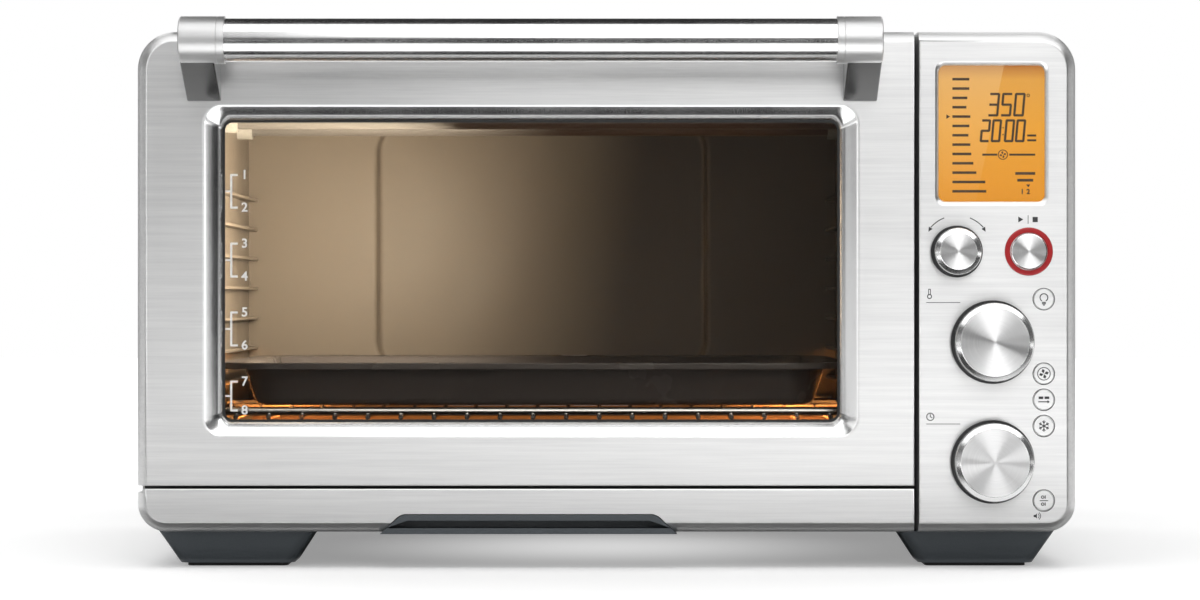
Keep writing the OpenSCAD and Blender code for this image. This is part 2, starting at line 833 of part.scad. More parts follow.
module cavity_back_wall() {
    t = liner_sheet;
    dx0 = cav_xm - dish_w / 2;
    dx1 = cav_xm + dish_w / 2;
    dz0 = z_sill + dish_low;
    dz1 = cav_z1 - dish_high;
    color(cream) difference() {
        union() {
            along_y(y_back, y_back + t) sheet(cav_x0 - t, z_chute, cav_x1 + t, cav_z1);
            along_y(y_back, y_back + dish_d + t) polygon(rounded(dx0 - t, dz0 - t, dx1 + t, dz1 + t, dish_r + t));
        }
        along_y(y_back - 1, y_back + dish_d) polygon(rounded(dx0, dz0, dx1, dz1, dish_r));
    }
}

module floor_slopes() {
    t = liner_sheet;
    color(cream) along_y(y_mouth, y_back) {
        polygon([[cav_x0 - t, z_sill], [cav_x0, z_sill], [tray_x0 + chute_lap, z_chute + t],
            [tray_x0 + chute_lap, z_chute], [cav_x0 - t, z_sill - t]]);
        polygon([[cav_x1 + t, z_sill], [cav_x1, z_sill], [tray_x1 - chute_lap, z_chute + t],
            [tray_x1 - chute_lap, z_chute], [cav_x1 + t, z_sill - t]]);
    }
}

// Quartz tubes between the heater caps
module heater_tubes(z) {
    for (y = heater_ys) rod_x(y, z, cav_x0 + cap_floor, cav_x1 - cap_floor, heater_r);
}

module upper_heaters() {
    color(quartz) heater_tubes(heater_high_z);
}

module lower_heaters() {
    color(quartz) heater_tubes(heater_low_z);
}

module heater_caps() {
    color(ceramic) difference() {
        for (y = heater_ys, z = [heater_low_z, heater_high_z]) {
            rod_x(y, z, cav_x0, cav_x0 + cap_len, cap_r);
            rod_x(y, z, cav_x1 - cap_len, cav_x1, cap_r);
        }
        for (y = heater_ys, z = [heater_low_z, heater_high_z])
            rod_x(y, z, cav_x0 + cap_floor, cav_x1 - cap_floor, heater_r + fit);
    }
}

module fan_housing() {
    color(dark_steel) difference() {
        rod_x(fan_y, fan_z, cav_x1 + liner_sheet, fan_cup_x, fan_cup_r);
        rod_x(fan_y, fan_z, cav_x1 + liner_sheet - 1, fan_cup_x - liner_sheet, fan_cup_r - liner_sheet);
        rod_x(fan_y, fan_z, cav_x1, fan_cup_x + 1, fan_hub_r);
    }
}

module fan_motor() {
    color(dark_steel) difference() {
        rod_x(fan_y, fan_z, x_panel, x_panel + motor_len, motor_r);
        rod_x(fan_y, fan_z, x_panel - 1, x_panel + motor_len / 2, fan_shaft_r + fit);
    }
}

module fan_impeller() {
    x0 = cav_x1 + liner_sheet + 2.5;
    x1 = fan_cup_x - liner_sheet - 2;
    color(bright) {
        rod_x(fan_y, fan_z, x1 - fan_blade_t, x1, fan_r);
        rod_x(fan_y, fan_z, x0, x1, fan_hub_r - 1);
        rod_x(fan_y, fan_z, x0, x_panel + motor_len / 2 - 1, fan_shaft_r);
        for (i = [0:fan_blades - 1])
            translate([0, fan_y, fan_z]) rotate([360 * i / fan_blades, 0, 0])
                block([x0, fan_r * 0.3, -fan_blade_t / 2], [x1 - eps, fan_r - 1, fan_blade_t / 2]);
    }
}

module lamp_housing() {
    x1 = cav_x0 - liner_sheet;
    color(bright) difference() {
        rod_x(lamp_y, lamp_z, x1 - lamp_cup_d, x1, lamp_lens_r);
        rod_x(lamp_y, lamp_z, x1 - lamp_cup_d + liner_sheet, x1 + 1, lamp_lens_r - liner_sheet);
    }
}

module lamp_bulb() {
    x0 = cav_x0 - liner_sheet - lamp_cup_d + liner_sheet;
    color(cream) {
        rod_x(lamp_y, lamp_z, x0, x0 + lamp_cup_d / 2, bulb_r);
        translate([x0 + lamp_cup_d / 2, lamp_y, lamp_z]) sphere(r = bulb_r);
    }
}

module lamp_lens() {
    color(glass) rod_x(lamp_y, lamp_z, cav_x0, cav_x0 + lamp_lens_t, lamp_lens_r);
}

module temperature_probe() {
    color(bright) {
        rod_x(probe_y, probe_z, cav_x1 - probe_len, cav_x1, probe_r);
        rod_x(probe_y, probe_z, cav_x1 - probe_r, cav_x1, probe_flange_r);
    }
}

module insulation_blanket() {
    color(ceramic) block([cav_x0, y_mouth, cav_z1 + liner_sheet],
        [cav_x1, y_back, cav_z1 + liner_sheet + insulation_t]);
}

module control_board() {
    color(green) block([x_panel + board_in_l, y_board, z_b + board_in_b],
        [x_r - board_in_r, y_board + board_t, z_t - board_in_t]);
}

// Encoder behind a dial
module encoder(x, z) {
    difference() {
        union() {
            block([x - encoder_w / 2, y_board - encoder_t, z - encoder_w / 2],
                [x + encoder_w / 2, y_board, z + encoder_w / 2]);
            rod_y(x, z, y_f + 2 * skin_t, y_board - encoder_t / 2, bush_r);
        }
        rod_y(x, z, y_f, y_board - 1, shaft_r + fit);
    }
}

// Key switch behind a push button
module key(x, z) {
    block([x - key_w / 2, y_board - key_t, z - key_w / 2], [x + key_w / 2, y_board, z + key_w / 2]);
    rod_y(x, z, y_board - key_t - key_pin_t, y_board - key_t / 2, key_pin_r);
}

module panel_switches() {
    color(black) {
        encoder(dial_xm, temp_z);
        encoder(dial_xm, time_z);
        encoder(select_xm, select_z);
        key(start_xm, select_z);
        for (z = button_zs) key(button_xm, z);
    }
}

module lcd_module() {
    y0 = y_f + disp_depth + lens_t + lay / 3;
    color(black) block([disp_x0 - 1, y0, disp_z0 - 1], [disp_x1 + 1, y0 + lcd_t, disp_z1 + 1]);
}

module display_lens() {
    color(black) along_y(y_f + disp_depth, y_f + disp_depth + lens_t)
        polygon(rounded(disp_x0 - lens_lap, disp_z0 - lens_lap, disp_x1 + lens_lap, disp_z1 + lens_lap, disp_r));
}

module start_ring() {
    color(red) difference() {
        union() {
            rod_y(start_xm, select_z, y_f - ring_out, y_f, ring_r);
            rod_y(start_xm, select_z, y_f - eps, y_f + ring_spigot_t, ring_spigot_r);
        }
        rod_y(start_xm, select_z, y_f - ring_out - 1, y_f + ring_spigot_t + 1, start_r + start_gap);
    }
}

module power_board() {
    x1 = power_x + board_t / 2;
    color(green) {
        block([power_x, power_y0, power_z0], [power_x + board_t, power_y1, power_z1]);
        for (y = [power_y0 + power_post_in, power_y1 - power_post_in])
            for (z = [power_z0 + power_post_in, power_z1 - power_post_in])
                rod_x(y, z, x_panel, x1, power_post_r);
        for (i = [0:2]) translate([x1, power_y0 + relay_in, power_z1 - relay_drop - i * relay_pitch])
            cube([relay_t, relay_w, relay_h]);
        translate([x1, power_y0 + core_in, power_z0 + core_rise]) cube([core_t, core_w, core_h]);
    }
}

module cord_gland() {
    color(black) translate([gland_x, y_r, gland_z]) rotate([90, 0, 0]) rotate_extrude() polygon([
        [gland_bore_r, -gland_out], [gland_r - 2, -gland_out], [gland_r, 2 - gland_out], [gland_r, 0],
        [gland_neck_r, 0], [gland_neck_r, sheet_t], [gland_r, sheet_t], [gland_r, sheet_t + gland_nut_t],
        [gland_bore_r, sheet_t + gland_nut_t]]);
}

module case_screws() {
    color(bright) for (p = screw_spots) {
        rod_y(p[0], p[1], y_r - screw_len, y_r + eps, screw_r);
        rod_y(p[0], p[1], y_r, y_r + screw_head_t, screw_head_r);
    }
}

module hinge_brackets() {
    pin = hinge_arm_t / 2 + hinge_side_gap + knuckle_t;
    color(dark_steel) for (x = hinge_xs) {
        along_x(x - hinge_arm_t / 2, x + hinge_arm_t / 2) {
            translate([y_hinge, z_hinge]) circle(r = hinge_arm_r);
            sheet(y_hinge, z_hinge - hinge_arm_r, y_mouth + hinge_foot_t / 2, z_hinge + hinge_arm_r);
        }
        rod_x(y_hinge, z_hinge, x - pin, x + pin, hinge_pin_r);
        block([x - hinge_foot_w, y_mouth, z_hinge - hinge_foot_h],
            [x + hinge_foot_w, y_mouth + hinge_foot_t, z_hinge + hinge_foot_h]);
    }
}

module door_bumpers() {
    color(black) for (x = [x_l + bumper_in, x_door - bumper_in])
        rod_y(x, z_t - bumper_drop, y_door_back + lay, y_frame, bumper_r);
}

module door_skin() {
    color(steel) difference() {
        door_block(y_f, y_door_back, 0);
        difference() {
            door_block(y_f + skin_t, y_door_back + 1, skin_t);
            window_surround(0, window_depth, skin_t);
        }
        window_surround(-1, window_depth + 1, 0);
        hinge_sweep();
        for (x = handle_screw_xs, z = handle_screw_zs)
            rod_y(x, z, y_f - 1, y_f + 2 * skin_t, handle_screw_r + fit);
    }
}

module door_liner() {
    g = glass_lap;
    l = inner_lap;
    y0 = y_glass + glass_t;
    color(dark_steel) difference() {
        union() {
            along_y(y_door_back - liner_t, y_door_back) intersection() {
                polygon(case_points(skin_t));
                sheet(x_l, z_door + skin_t, x_door - skin_t, z_t);
            }
            along_y(y0, y_door_back) polygon(rounded(win_x0 - g, win_z0 - g, win_x1 + g, win_z1 + g, window_r + g));
        }
        along_y(y0 - 1, y_door_back + 1) polygon(rounded(win_x0, win_z0, win_x1, win_z1, window_r));
        along_y(y_inner_glass, y_door_back + 1)
            polygon(rounded(win_x0 - l, win_z0 - l, win_x1 + l, win_z1 + l, window_r + l));
        hinge_sweep();
    }
}

module outer_glass() {
    g = glass_lap;
    color(glass) along_y(y_glass, y_glass + glass_t)
        polygon(rounded(win_x0 - g, win_z0 - g, win_x1 + g, win_z1 + g, window_r + g));
}

module inner_glass() {
    l = inner_lap - glass_side_gap;
    color(glass) along_y(y_inner_glass, y_inner_glass + inner_glass_t)
        polygon(rounded(win_x0 - l, win_z0 - l, win_x1 + l, win_z1 + l, window_r + l));
}

module window_seal() {
    g = glass_lap;
    s = seal_lip;
    color(black) along_y(y_f + window_depth, y_glass) difference() {
        polygon(rounded(win_x0 - g, win_z0 - g, win_x1 + g, win_z1 + g, window_r + g));
        polygon(rounded(win_x0 + s, win_z0 + s, win_x1 - s, win_z1 - s, window_r - s));
    }
}

module handle_tube() {
    x0 = handle_x0 + collar_w - socket_d;
    x1 = handle_x1 - collar_w + socket_d;
    color(bright) difference() {
        rod_x(y_handle, z_handle, x0, x1, tube_r);
        rod_x(y_handle, z_handle, x0 - 1, x1 + 1, tube_r - tube_wall);
    }
}

// Handle bracket at the left, its outer end at x = 0
module bracket() {
    difference() {
        union() {
            along_x(0, arm_w) hull() {
                translate([y_handle, z_handle]) circle(r = collar_r);
                sheet(y_f - 1, z_handle - arm_drop, y_f, z_handle - arm_face_top);
            }
            rod_x(y_handle, z_handle, 0, collar_w, collar_r);
        }
        rod_x(y_handle, z_handle, collar_w - socket_d, collar_w + 1, tube_r + fit);
        for (z = handle_screw_zs) rod_y(arm_w / 2, z, y_f - handle_screw_d, y_f + 1, handle_screw_r + fit);
    }
}

module handle_bracket_left() {
    color(bright) translate([handle_x0, 0, 0]) bracket();
}

module handle_bracket_right() {
    color(bright) translate([handle_x1, 0, 0]) mirror([1, 0, 0]) bracket();
}

module handle_screws() {
    color(bright) for (x = handle_screw_xs, z = handle_screw_zs) {
        rod_y(x, z, y_f - handle_screw_d + lay, y_f + skin_t + eps, handle_screw_r);
        rod_y(x, z, y_f + skin_t, y_f + skin_t + handle_screw_head_t, handle_screw_head_r);
    }
}

module hinge_knuckles() {
    in = hinge_arm_t / 2 + hinge_side_gap;
    color(dark_steel) for (x = hinge_xs, s = [-1, 1]) difference() {
        translate([x + s * (in + knuckle_t / 2) - knuckle_t / 2, 0, 0]) along_x(0, knuckle_t) {
            translate([y_hinge, z_hinge]) circle(r = knuckle_r - 0.9);
            sheet(y_hinge, z_door + skin_t, y_hinge + knuckle_r, z_hinge + hinge_pin_r);
        }
        rod_x(y_hinge, z_hinge, x - 2 * (in + knuckle_t), x + 2 * (in + knuckle_t), hinge_pin_r + fit);
    }
}

module wire_rack() {
    bars = [rack_y0 + bar_in, (rack_y0 + rack_y1) / 2, rack_y1 - bar_in];
    color(bright) {
        for (y = bars) rod_x(y, z_bar, rack_x0 - slat_r, rack_x1 + slat_r, bar_r);
        for (i = [0:slat_gaps])
            rod_y(rack_x0 + (rack_x1 - rack_x0) * i / slat_gaps, z_slat, rack_y0, rack_y1, slat_r);
    }
}

// Slice of the pan's bowl at a height, drawn in from the rim's edge
module pan_slice(z, inset) {
    translate([0, 0, z]) linear_extrude(eps)
        polygon(rounded(pan_x0 + inset, pan_y0 + inset, pan_x1 - inset, pan_y1 - inset, pan_rim_r - inset));
}

module roasting_pan() {
    color(enamel) difference() {
        union() {
            hull() {
                pan_slice(pan_z0, pan_rim + pan_lean);
                pan_slice(pan_z1 - eps, pan_rim);
            }
            translate([0, 0, pan_z1 - pan_t]) linear_extrude(pan_t)
                polygon(rounded(pan_x0, pan_y0, pan_x1, pan_y1, pan_rim_r));
            translate([0, 0, pan_z1 - pan_lip_h]) linear_extrude(pan_lip_h) difference() {
                polygon(rounded(pan_x0, pan_y0, pan_x1, pan_y1, pan_rim_r));
                polygon(rounded(pan_x0 + pan_t, pan_y0 + pan_t, pan_x1 - pan_t, pan_y1 - pan_t, pan_rim_r - pan_t));
            }
        }
        hull() {
            pan_slice(pan_z0 + pan_t, pan_rim + pan_lean + pan_t);
            pan_slice(pan_z1, pan_rim + pan_t);
        }
    }
}

module crumb_tray() {
    color(bright) difference() {
        block([tray_x0, tray_y0, tray_z0], [tray_x1, tray_y1, tray_z1]);
        block([tray_x0 + tray_t, tray_y0 + tray_t, tray_z0 + tray_t],
            [tray_x1 - tray_t, tray_y1 - tray_t, tray_z1 + 1]);
    }
}

module tray_grip() {
    hollow_d = grip_d - 2.5;
    color(slate) difference() {
        along_y(y_f, y_f + grip_d) polygon(grip_points(0));
        along_y(y_f - 1, y_f + hollow_d) intersection() {
            polygon(grip_points(-grip_rim));
            sheet(x_l, z_b - grip_low + grip_rim / 2, x_r, z_t);
        }
    }
}

// Dial with its shaft, turned about Y; depths counted forward from the front face
module dial(x, z, r, out, deep) {
    translate([x, y_f, z]) rotate([90, 0, 0]) rotate_extrude() polygon([
        [0, -deep], [shaft_r, -deep], [shaft_r, dial_gap], [r + skirt_w, dial_gap],
        [r + skirt_w, dial_gap + skirt_t], [r, dial_gap + skirt_t], [r, out - dial_bevel_t],
        [r - dial_bevel_w, out], [0, out]]);
}

module select_dial() {
    color(bright) dial(select_xm, select_z, select_r, select_out, select_shaft_in);
}

module select_plunger() {
    y0 = y_f + select_shaft_in + plunger_gap;
    color(black) rod_y(select_xm, select_z, y0, y0 + plunger_t, shaft_r);
}

module temp_dial() {
    color(bright) dial(dial_xm, temp_z, dial_r, dial_out, shaft_in);
}

module time_dial() {
    color(bright) dial(dial_xm, time_z, dial_r, dial_out, shaft_in);
}

module start_button() {
    y1 = y_f + ring_spigot_t + seat_gap;
    color(bright) {
        rod_y(start_xm, select_z, y_f - start_out, y1 + start_flange_t, start_r);
        rod_y(start_xm, select_z, y1, y1 + start_flange_t, start_r + start_flange_w);
        rod_y(start_xm, select_z, y1, y_f + stem_end, button_stem_r);
    }
}

// Push button at a height
module push_button(z) {
    y0 = y_f + skin_t + seat_gap;
    color(bright) {
        rod_y(button_xm, z, y_f - button_out, y0 + button_flange_t, button_r);
        rod_y(button_xm, z, y0, y0 + button_flange_t, button_r + button_flange_w);
        rod_y(button_xm, z, y0, y_f + stem_end, button_stem_r);
    }
}

module light_button() {
    push_button(light_z);
}

module fan_button() {
    push_button(fan_button_z);
}

module phase_button() {
    push_button(phase_z);
}

module frozen_button() {
    push_button(frozen_z);
}

module unit_button() {
    push_button(unit_z);
}

outer_wrap();
rear_panel();
base_pan();
front_frame();
lower_strip();
control_panel();
control_bulkhead();
feet();
foot_pads();
cavity_left_wall();
cavity_right_wall();
rack_rails();
cavity_ceiling();
cavity_back_wall();
floor_slopes();
upper_heaters();
lower_heaters();
heater_caps();
fan_housing();
fan_motor();
fan_impeller();
lamp_housing();
lamp_bulb();
lamp_lens();
temperature_probe();
insulation_blanket();
control_board();
panel_switches();
lcd_module();
display_lens();
start_ring();
power_board();
cord_gland();
case_screws();
hinge_brackets();
door_bumpers();
door_skin();
door_liner();
outer_glass();
inner_glass();
window_seal();
handle_tube();
handle_bracket_left();
handle_bracket_right();
handle_screws();
hinge_knuckles();
wire_rack();
roasting_pan();
crumb_tray();
tray_grip();
select_plunger();
select_dial();
temp_dial();
time_dial();
start_button();
light_button();
fan_button();
phase_button();
frozen_button();
unit_button();
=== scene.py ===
# %% [markdown]
# # A countertop oven with a drop-down door, dressed for its portrait
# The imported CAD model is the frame: it fixes every size and every moving body. This lesson gives the
# frame its finishes, and swaps the pieces that show most for smoother ones in the same places.

# %% Load the frame and take its measures
import json
import math
from contextlib import contextmanager

import bmesh
import bpy
from mathutils import Matrix, Vector
from mathutils.geometry import convex_hull_2d, tessellate_polygon


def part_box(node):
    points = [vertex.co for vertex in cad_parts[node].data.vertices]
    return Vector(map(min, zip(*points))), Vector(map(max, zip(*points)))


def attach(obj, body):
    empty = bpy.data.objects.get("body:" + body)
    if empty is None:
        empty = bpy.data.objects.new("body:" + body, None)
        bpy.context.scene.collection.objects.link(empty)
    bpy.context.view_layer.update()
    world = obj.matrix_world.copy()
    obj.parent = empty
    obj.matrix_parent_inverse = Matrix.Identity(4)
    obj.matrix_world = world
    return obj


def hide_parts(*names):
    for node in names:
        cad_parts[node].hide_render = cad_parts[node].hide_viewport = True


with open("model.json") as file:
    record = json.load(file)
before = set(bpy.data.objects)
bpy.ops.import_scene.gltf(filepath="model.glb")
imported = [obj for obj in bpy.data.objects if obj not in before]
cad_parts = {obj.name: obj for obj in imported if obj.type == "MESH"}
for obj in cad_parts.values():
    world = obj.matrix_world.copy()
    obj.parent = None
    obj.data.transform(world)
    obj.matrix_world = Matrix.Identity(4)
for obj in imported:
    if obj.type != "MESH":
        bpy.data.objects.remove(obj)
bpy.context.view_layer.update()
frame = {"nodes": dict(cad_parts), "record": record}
MM = 0.001


def span(piece):
    """Lowest and highest corner of a CAD node, in millimetres."""
    lo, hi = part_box(piece)
    return lo / MM, hi / MM


def middle(piece):
    """Middle of a CAD node in X and Z, in millimetres."""
    lo, hi = span(piece)
    return (lo.x + hi.x) / 2, (lo.z + hi.z) / 2


skin_lo, skin_hi = span("door_skin")
strip_hi = span("lower_strip")[1]
panel_lo, panel_hi = span("control_panel")
glass_lo, glass_hi = span("outer_glass")
FACE = skin_lo.y
LEFT, RIGHT, BOTTOM, TOP = skin_lo.x, panel_hi.x, panel_lo.z, panel_hi.z
GLASS_LAP = 7.0
WIN = (glass_lo.x + GLASS_LAP, glass_lo.z + GLASS_LAP, glass_hi.x - GLASS_LAP, glass_hi.z - GLASS_LAP)
print("front face at y =", round(FACE, 1), "mm; window", [round(v, 1) for v in WIN])

# %% [markdown]
# ## Camera
# The photograph looks straight at the door from about two metres, slightly left of the middle and at half
# height. A long lens on a plain 36 mm sensor gives the same mild perspective.

# %% Camera
EYE_X, EYE_Z, EYE_AWAY = -3.8, 155.9, 2000.0
scene = bpy.context.scene
scene.view_settings.view_transform = "Standard"


def put(name, data):
    """A new object in the scene."""
    ob = bpy.data.objects.new(name, data)
    scene.collection.objects.link(ob)
    return ob


camera = put("camera", bpy.data.cameras.new("camera"))
camera.data.sensor_width = 36
camera.data.lens = 103.4
camera.location = Vector((EYE_X, FACE - EYE_AWAY, EYE_Z)) * MM
camera.rotation_euler = (math.radians(90), 0, 0)
scene.camera = camera
print("camera at", [round(v, 3) for v in camera.location])

# %% [markdown]
# ## Nodes and a first material helper
# A material could be wired by hand, socket by socket, but the same few lines would come back in every finish. Three
# helpers take them up: one adds a node with its settings, one draws the links, and one starts a material whose plain
# numbers sit on the Principled shader's own sockets.

# %% Node helpers
def node(tree, kind, at=None, **settings):
    """A node with its settings. An input is set by its name, with _ for a space, or by its number in at."""
    n = tree.nodes.new(kind if kind.startswith("Geometry") else "ShaderNode" + kind)
    for key, value in settings.items():
        label = key.replace("_", " ")
        if label in n.inputs:
            n.inputs[label].default_value = value
        else:
            setattr(n, key, value)
    for k, value in (at or {}).items():
        n.inputs[k].default_value = value
    return n


def wire(tree, *links):
    """Links, each one as node, output, node, input."""
    for a, out, b, into in links:
        tree.links.new(a.outputs[out], b.inputs[into])


def grey(level):
    return level, level, level, 1


def ramp_colours(ramp, first, last, *between):
    """The colours of a ramp: its ends, and pairs of place and colour between them."""
    row = ramp.color_ramp.elements
    row[0].color, row[1].color = first, last
    for spot, colour in between:
        row.new(spot).color = colour


def finish(name, base, rough, metallic=0.0, **plain):
    """A material, its tree and its shader, with the plain numbers set on the shader's own sockets."""
    m = bpy.data.materials.new(name)
    m.use_nodes = True
    p = m.node_tree.nodes["Principled BSDF"]
    plain.update(Base_Color=(*base, 1), Roughness=rough, Metallic=metallic)
    for key, value in plain.items():
        p.inputs[key.replace("_", " ")].default_value = value
    return m, m.node_tree, p


print("node helpers ready")

# %% [markdown]
# ## Studio
# Steel shows the room more than itself, so the room is built first. The world is white behind the oven and dim in
# front of it. One soft box hangs overhead, one stands high at the front, two smaller ones stand at the left and the
# right, and two fills lift the left side and the floor. An image of a room could do the same, but lamps and cards
# can be moved one by one until each band on the steel sits where the photograph has it.

# %% World and lamps
world = bpy.data.worlds.new("studio")
scene.world = world
world.use_nodes = True
tree = world.node_tree
where, split, rays = (node(tree, kind) for kind in ("TexCoord", "SeparateXYZ", "LightPath"))
ramp = node(tree, "MapRange", interpolation_type="SMOOTHSTEP", From_Min=-0.1, From_Max=0.5, To_Min=0.12, To_Max=1.0)
white = node(tree, "Math", operation="MAXIMUM")
wire(tree, (where, "Generated", split, 0), (split, "Y", ramp, "Value"), (ramp, 0, white, 0),
     (rays, "Is Camera Ray", white, 1), (white, 0, tree.nodes["Background"], "Color"))


def soft_box(name, spot, aim, width, height, radiance):
    """A rectangular lamp of a given brightness, turned to a point."""
    lamp = bpy.data.lights.new(name, "AREA")
    lamp.shape = "RECTANGLE"
    lamp.size, lamp.size_y = width, height
    lamp.energy = radiance * math.pi * width * height
    ob = put(name, lamp)
    ob.location = spot
    ob.rotation_euler = (Vector(aim) - Vector(spot)).to_track_quat("-Z", "Y").to_euler()
    ob.visible_camera = False
    return ob


soft_box("overhead_box", (-0.2, -0.89, 1.5), (-0.2, -0.89, 0.0), 1.8, 1.26, 1.55)
soft_box("front_box", (0.36, -3.0, 1.68), (0.1, -0.2, 0.15), 1.5, 1.85, 2.6)
soft_box("left_strip", (-1.6, -2.6, 0.85), (-0.2, -0.2, 0.15), 1.1, 1.6, 1.15)
soft_box("right_strip", (1.6, -2.4, 0.28), (0.2, -0.2, 0.15), 0.6, 0.55, 2.0)
soft_box("left_fill", (-2.2, -1.5, 0.3), (0.0, -0.1, 0.15), 0.9, 0.9, 0.32)
floor_fill = soft_box("floor_fill", (0.0, -0.1, 2.6), (0.0, -0.1, 0.0), 3.2, 3.2, 0.9)
floor_fill.visible_glossy = False
print("studio lamps:", len(bpy.data.lights))

# %% [markdown]
# ### Floor
# The photograph's floor is burnt out to white except for soft shade close to the feet. A matte white sheet alone would
# stay grey, so it also gives off a little light of its own for every ray that looks at it: least round the oven and
# fully at a distance. More of it under the oven's middle is painted light, a pool that lifts the oven's shadow there.
# The diffuse rays don't see that light, so the oven isn't lit by it from below.

# %% Floor
FLOOR_HALF, LIFT_REACH = 7, 1.3


def flat_card(name, corners, material, only_reflections=True):
    """A flat card of four corners in metres."""
    me = bpy.data.meshes.new(name)
    me.from_pydata(corners, [], [range(len(corners))])
    me.materials.append(material)
    ob = put(name, me)
    if only_reflections:
        ob.visible_camera = ob.visible_diffuse = ob.visible_shadow = False


def level_card(name, x0, x1, y0, y1, paint, z=0.004, **kind):
    """A card lying level, by default just above the floor."""
    flat_card(name, [(x0, y0, z), (x1, y0, z), (x1, y1, z), (x0, y1, z)], paint, **kind)


floor_paint, tree, shader = finish("floor_paint", (0.76,) * 3, 0.9, Specular_IOR_Level=0.1, Emission_Color=grey(1))
rays, where, rise = (node(tree, kind) for kind in ("LightPath", "TexCoord", "ValToRGB"))
direct, seen = (node(tree, "Math", operation="MAXIMUM") for _ in range(2))
far = node(tree, "VectorMath", operation="LENGTH")
reach = node(tree, "Math", operation="DIVIDE", at={1: LIFT_REACH})
lift = node(tree, "Math", operation="MULTIPLY")
rise.color_ramp.interpolation = "EASE"
# Glow by distance: 0.66 under the oven's middle is a painted pool of light in its shadow; 0.3 round it; full far off.
ramp_colours(rise, grey(0.66), grey(1), (0.15, grey(0.3)), (0.35, grey(0.3)))
wire(tree, (rays, "Is Camera Ray", direct, 0), (rays, "Is Glossy Ray", direct, 1), (direct, 0, seen, 0),
     (rays, "Is Transmission Ray", seen, 1), (where, "Object", far, 0), (far, "Value", reach, 0),
     (reach, 0, rise, "Fac"), (rise, 0, lift, 1), (seen, 0, lift, 0), (lift, 0, shader, "Emission Strength"))
level_card("floor", -FLOOR_HALF, FLOOR_HALF, -FLOOR_HALF, FLOOR_HALF, floor_paint, 0, only_reflections=False)
print("floor:", 2 * FLOOR_HALF, "m square")

# %% [markdown]
# ### Cards
# A product photographer puts black and white boards just outside the picture, to draw dark and bright bands on the
# handle and to shade one side of each slope. These cards do the same. Only reflections see them, so they throw no
# shadow and don't change how the rest is lit.

# %% Cards
def card_paint(name, level, **plain):
    """Plain matte paint for a card."""
    return finish(name, (level,) * 3, 1.0, Specular_IOR_Level=0.0, **plain)


def upright_card(name, a, b, z0, z1, paint):
    """A card standing between two floor points."""
    flat_card(name, [(*a, z0), (*b, z0), (*b, z1), (*a, z1)], paint)


dark_card, side_card = card_paint("dark_card", 0.02)[0], card_paint("side_card", 0.45)[0]
bright_card, tree, shader = card_paint("bright_card", 0.8, Emission_Color=grey(1))
where, split = node(tree, "TexCoord"), node(tree, "SeparateXYZ")
level = node(tree, "MapRange", From_Min=-0.4, From_Max=0.4, To_Min=0.95, To_Max=1.8)
wire(tree, (where, "Object", split, 0), (split, "X", level, "Value"), (level, 0, shader, "Emission Strength"))

level_card("card_near_floor", -1.0, 0.9, -0.37, -0.226, dark_card)
level_card("card_front_edge", -0.4, 0.4, -0.19, -0.172, dark_card)
level_card("card_mid_floor", -0.5, 0.5, -0.9, -0.37, bright_card)
level_card("card_left_floor", -2.0, -0.55, -1.6, -0.3, side_card)
level_card("card_right_floor", 0.55, 1.2, -1.4, -0.24, dark_card)
level_card("card_under", -0.4, 0.4, -0.17, 0.3, side_card)
level_card("card_far_floor", -1.3, 1.3, -2.5, -0.9, dark_card)
upright_card("card_behind_camera", (-0.58, -2.6), (0.42, -2.6), 0.0, 0.40, dark_card)
upright_card("card_right", (1.2, -1.4), (1.2, -0.5), 0.0, 0.7, dark_card)
flat_card("card_back_top", [(-0.37, 0.35, 0.62), (0.23, 0.35, 0.62), (0.23, -0.21, 1.49), (-0.37, -0.21, 1.49)],
          dark_card)
level_card("card_high_left", -2.1, -1.12, -1.5, -0.4, bright_card, 1.5)
level_card("card_high_right", 0.72, 2.0, -1.5, -0.4, bright_card, 1.5)
upright_card("card_left_side", (-1.2, -0.15), (-1.2, 3.0), 0.0, 1.6, side_card)
upright_card("card_right_side", (1.2, -0.15), (1.2, 3.0), 0.0, 1.6, side_card)

# %% [markdown]
# ## Shared effects
# Three effects come back in many finishes, so each is a node group that is built once: drawn lines for
# brushed metal, slow clouds for handling and uneven gloss, and fine specks for enamel and moulded plastic.
# The groups put out only values that change over the surface; the shaders stay in the materials.

# %% Node groups
FLOAT, VECTOR = "NodeSocketFloat", "NodeSocketVector"


def new_group(name, inputs, outputs):
    """An empty shader group with its inputs and float outputs, and a node for its object coordinates."""
    g = bpy.data.node_groups.new(name, "ShaderNodeTree")
    for label, kind, value in inputs:
        g.interface.new_socket(name=label, in_out="INPUT", socket_type=kind).default_value = value
    for label in outputs:
        g.interface.new_socket(name=label, in_out="OUTPUT", socket_type=FLOAT)
    return g, g.nodes.new("NodeGroupInput"), g.nodes.new("NodeGroupOutput"), node(g, "TexCoord")


lines_group, gin, gout, coords = new_group("drawn_lines", [("Stretch", VECTOR, (25, 900, 900))], ["Height", "Shade"])
stretch = node(lines_group, "VectorMath", operation="MULTIPLY")
fine = node(lines_group, "TexNoise", Scale=1.0, Detail=3.0, Roughness=0.65)
broad = node(lines_group, "TexNoise", Scale=0.4, Detail=2.0, Roughness=0.5)
both = node(lines_group, "Math", operation="ADD")
shade = node(lines_group, "MapRange", From_Min=0.7, From_Max=1.3)
wire(lines_group, (coords, "Object", stretch, 0), (gin, "Stretch", stretch, 1), (stretch, 0, fine, "Vector"),
     (stretch, 0, broad, "Vector"), (fine, "Fac", both, 0), (broad, "Fac", both, 1), (both, 0, shade, "Value"),
     (both, 0, gout, "Height"), (shade, 0, gout, "Shade"))

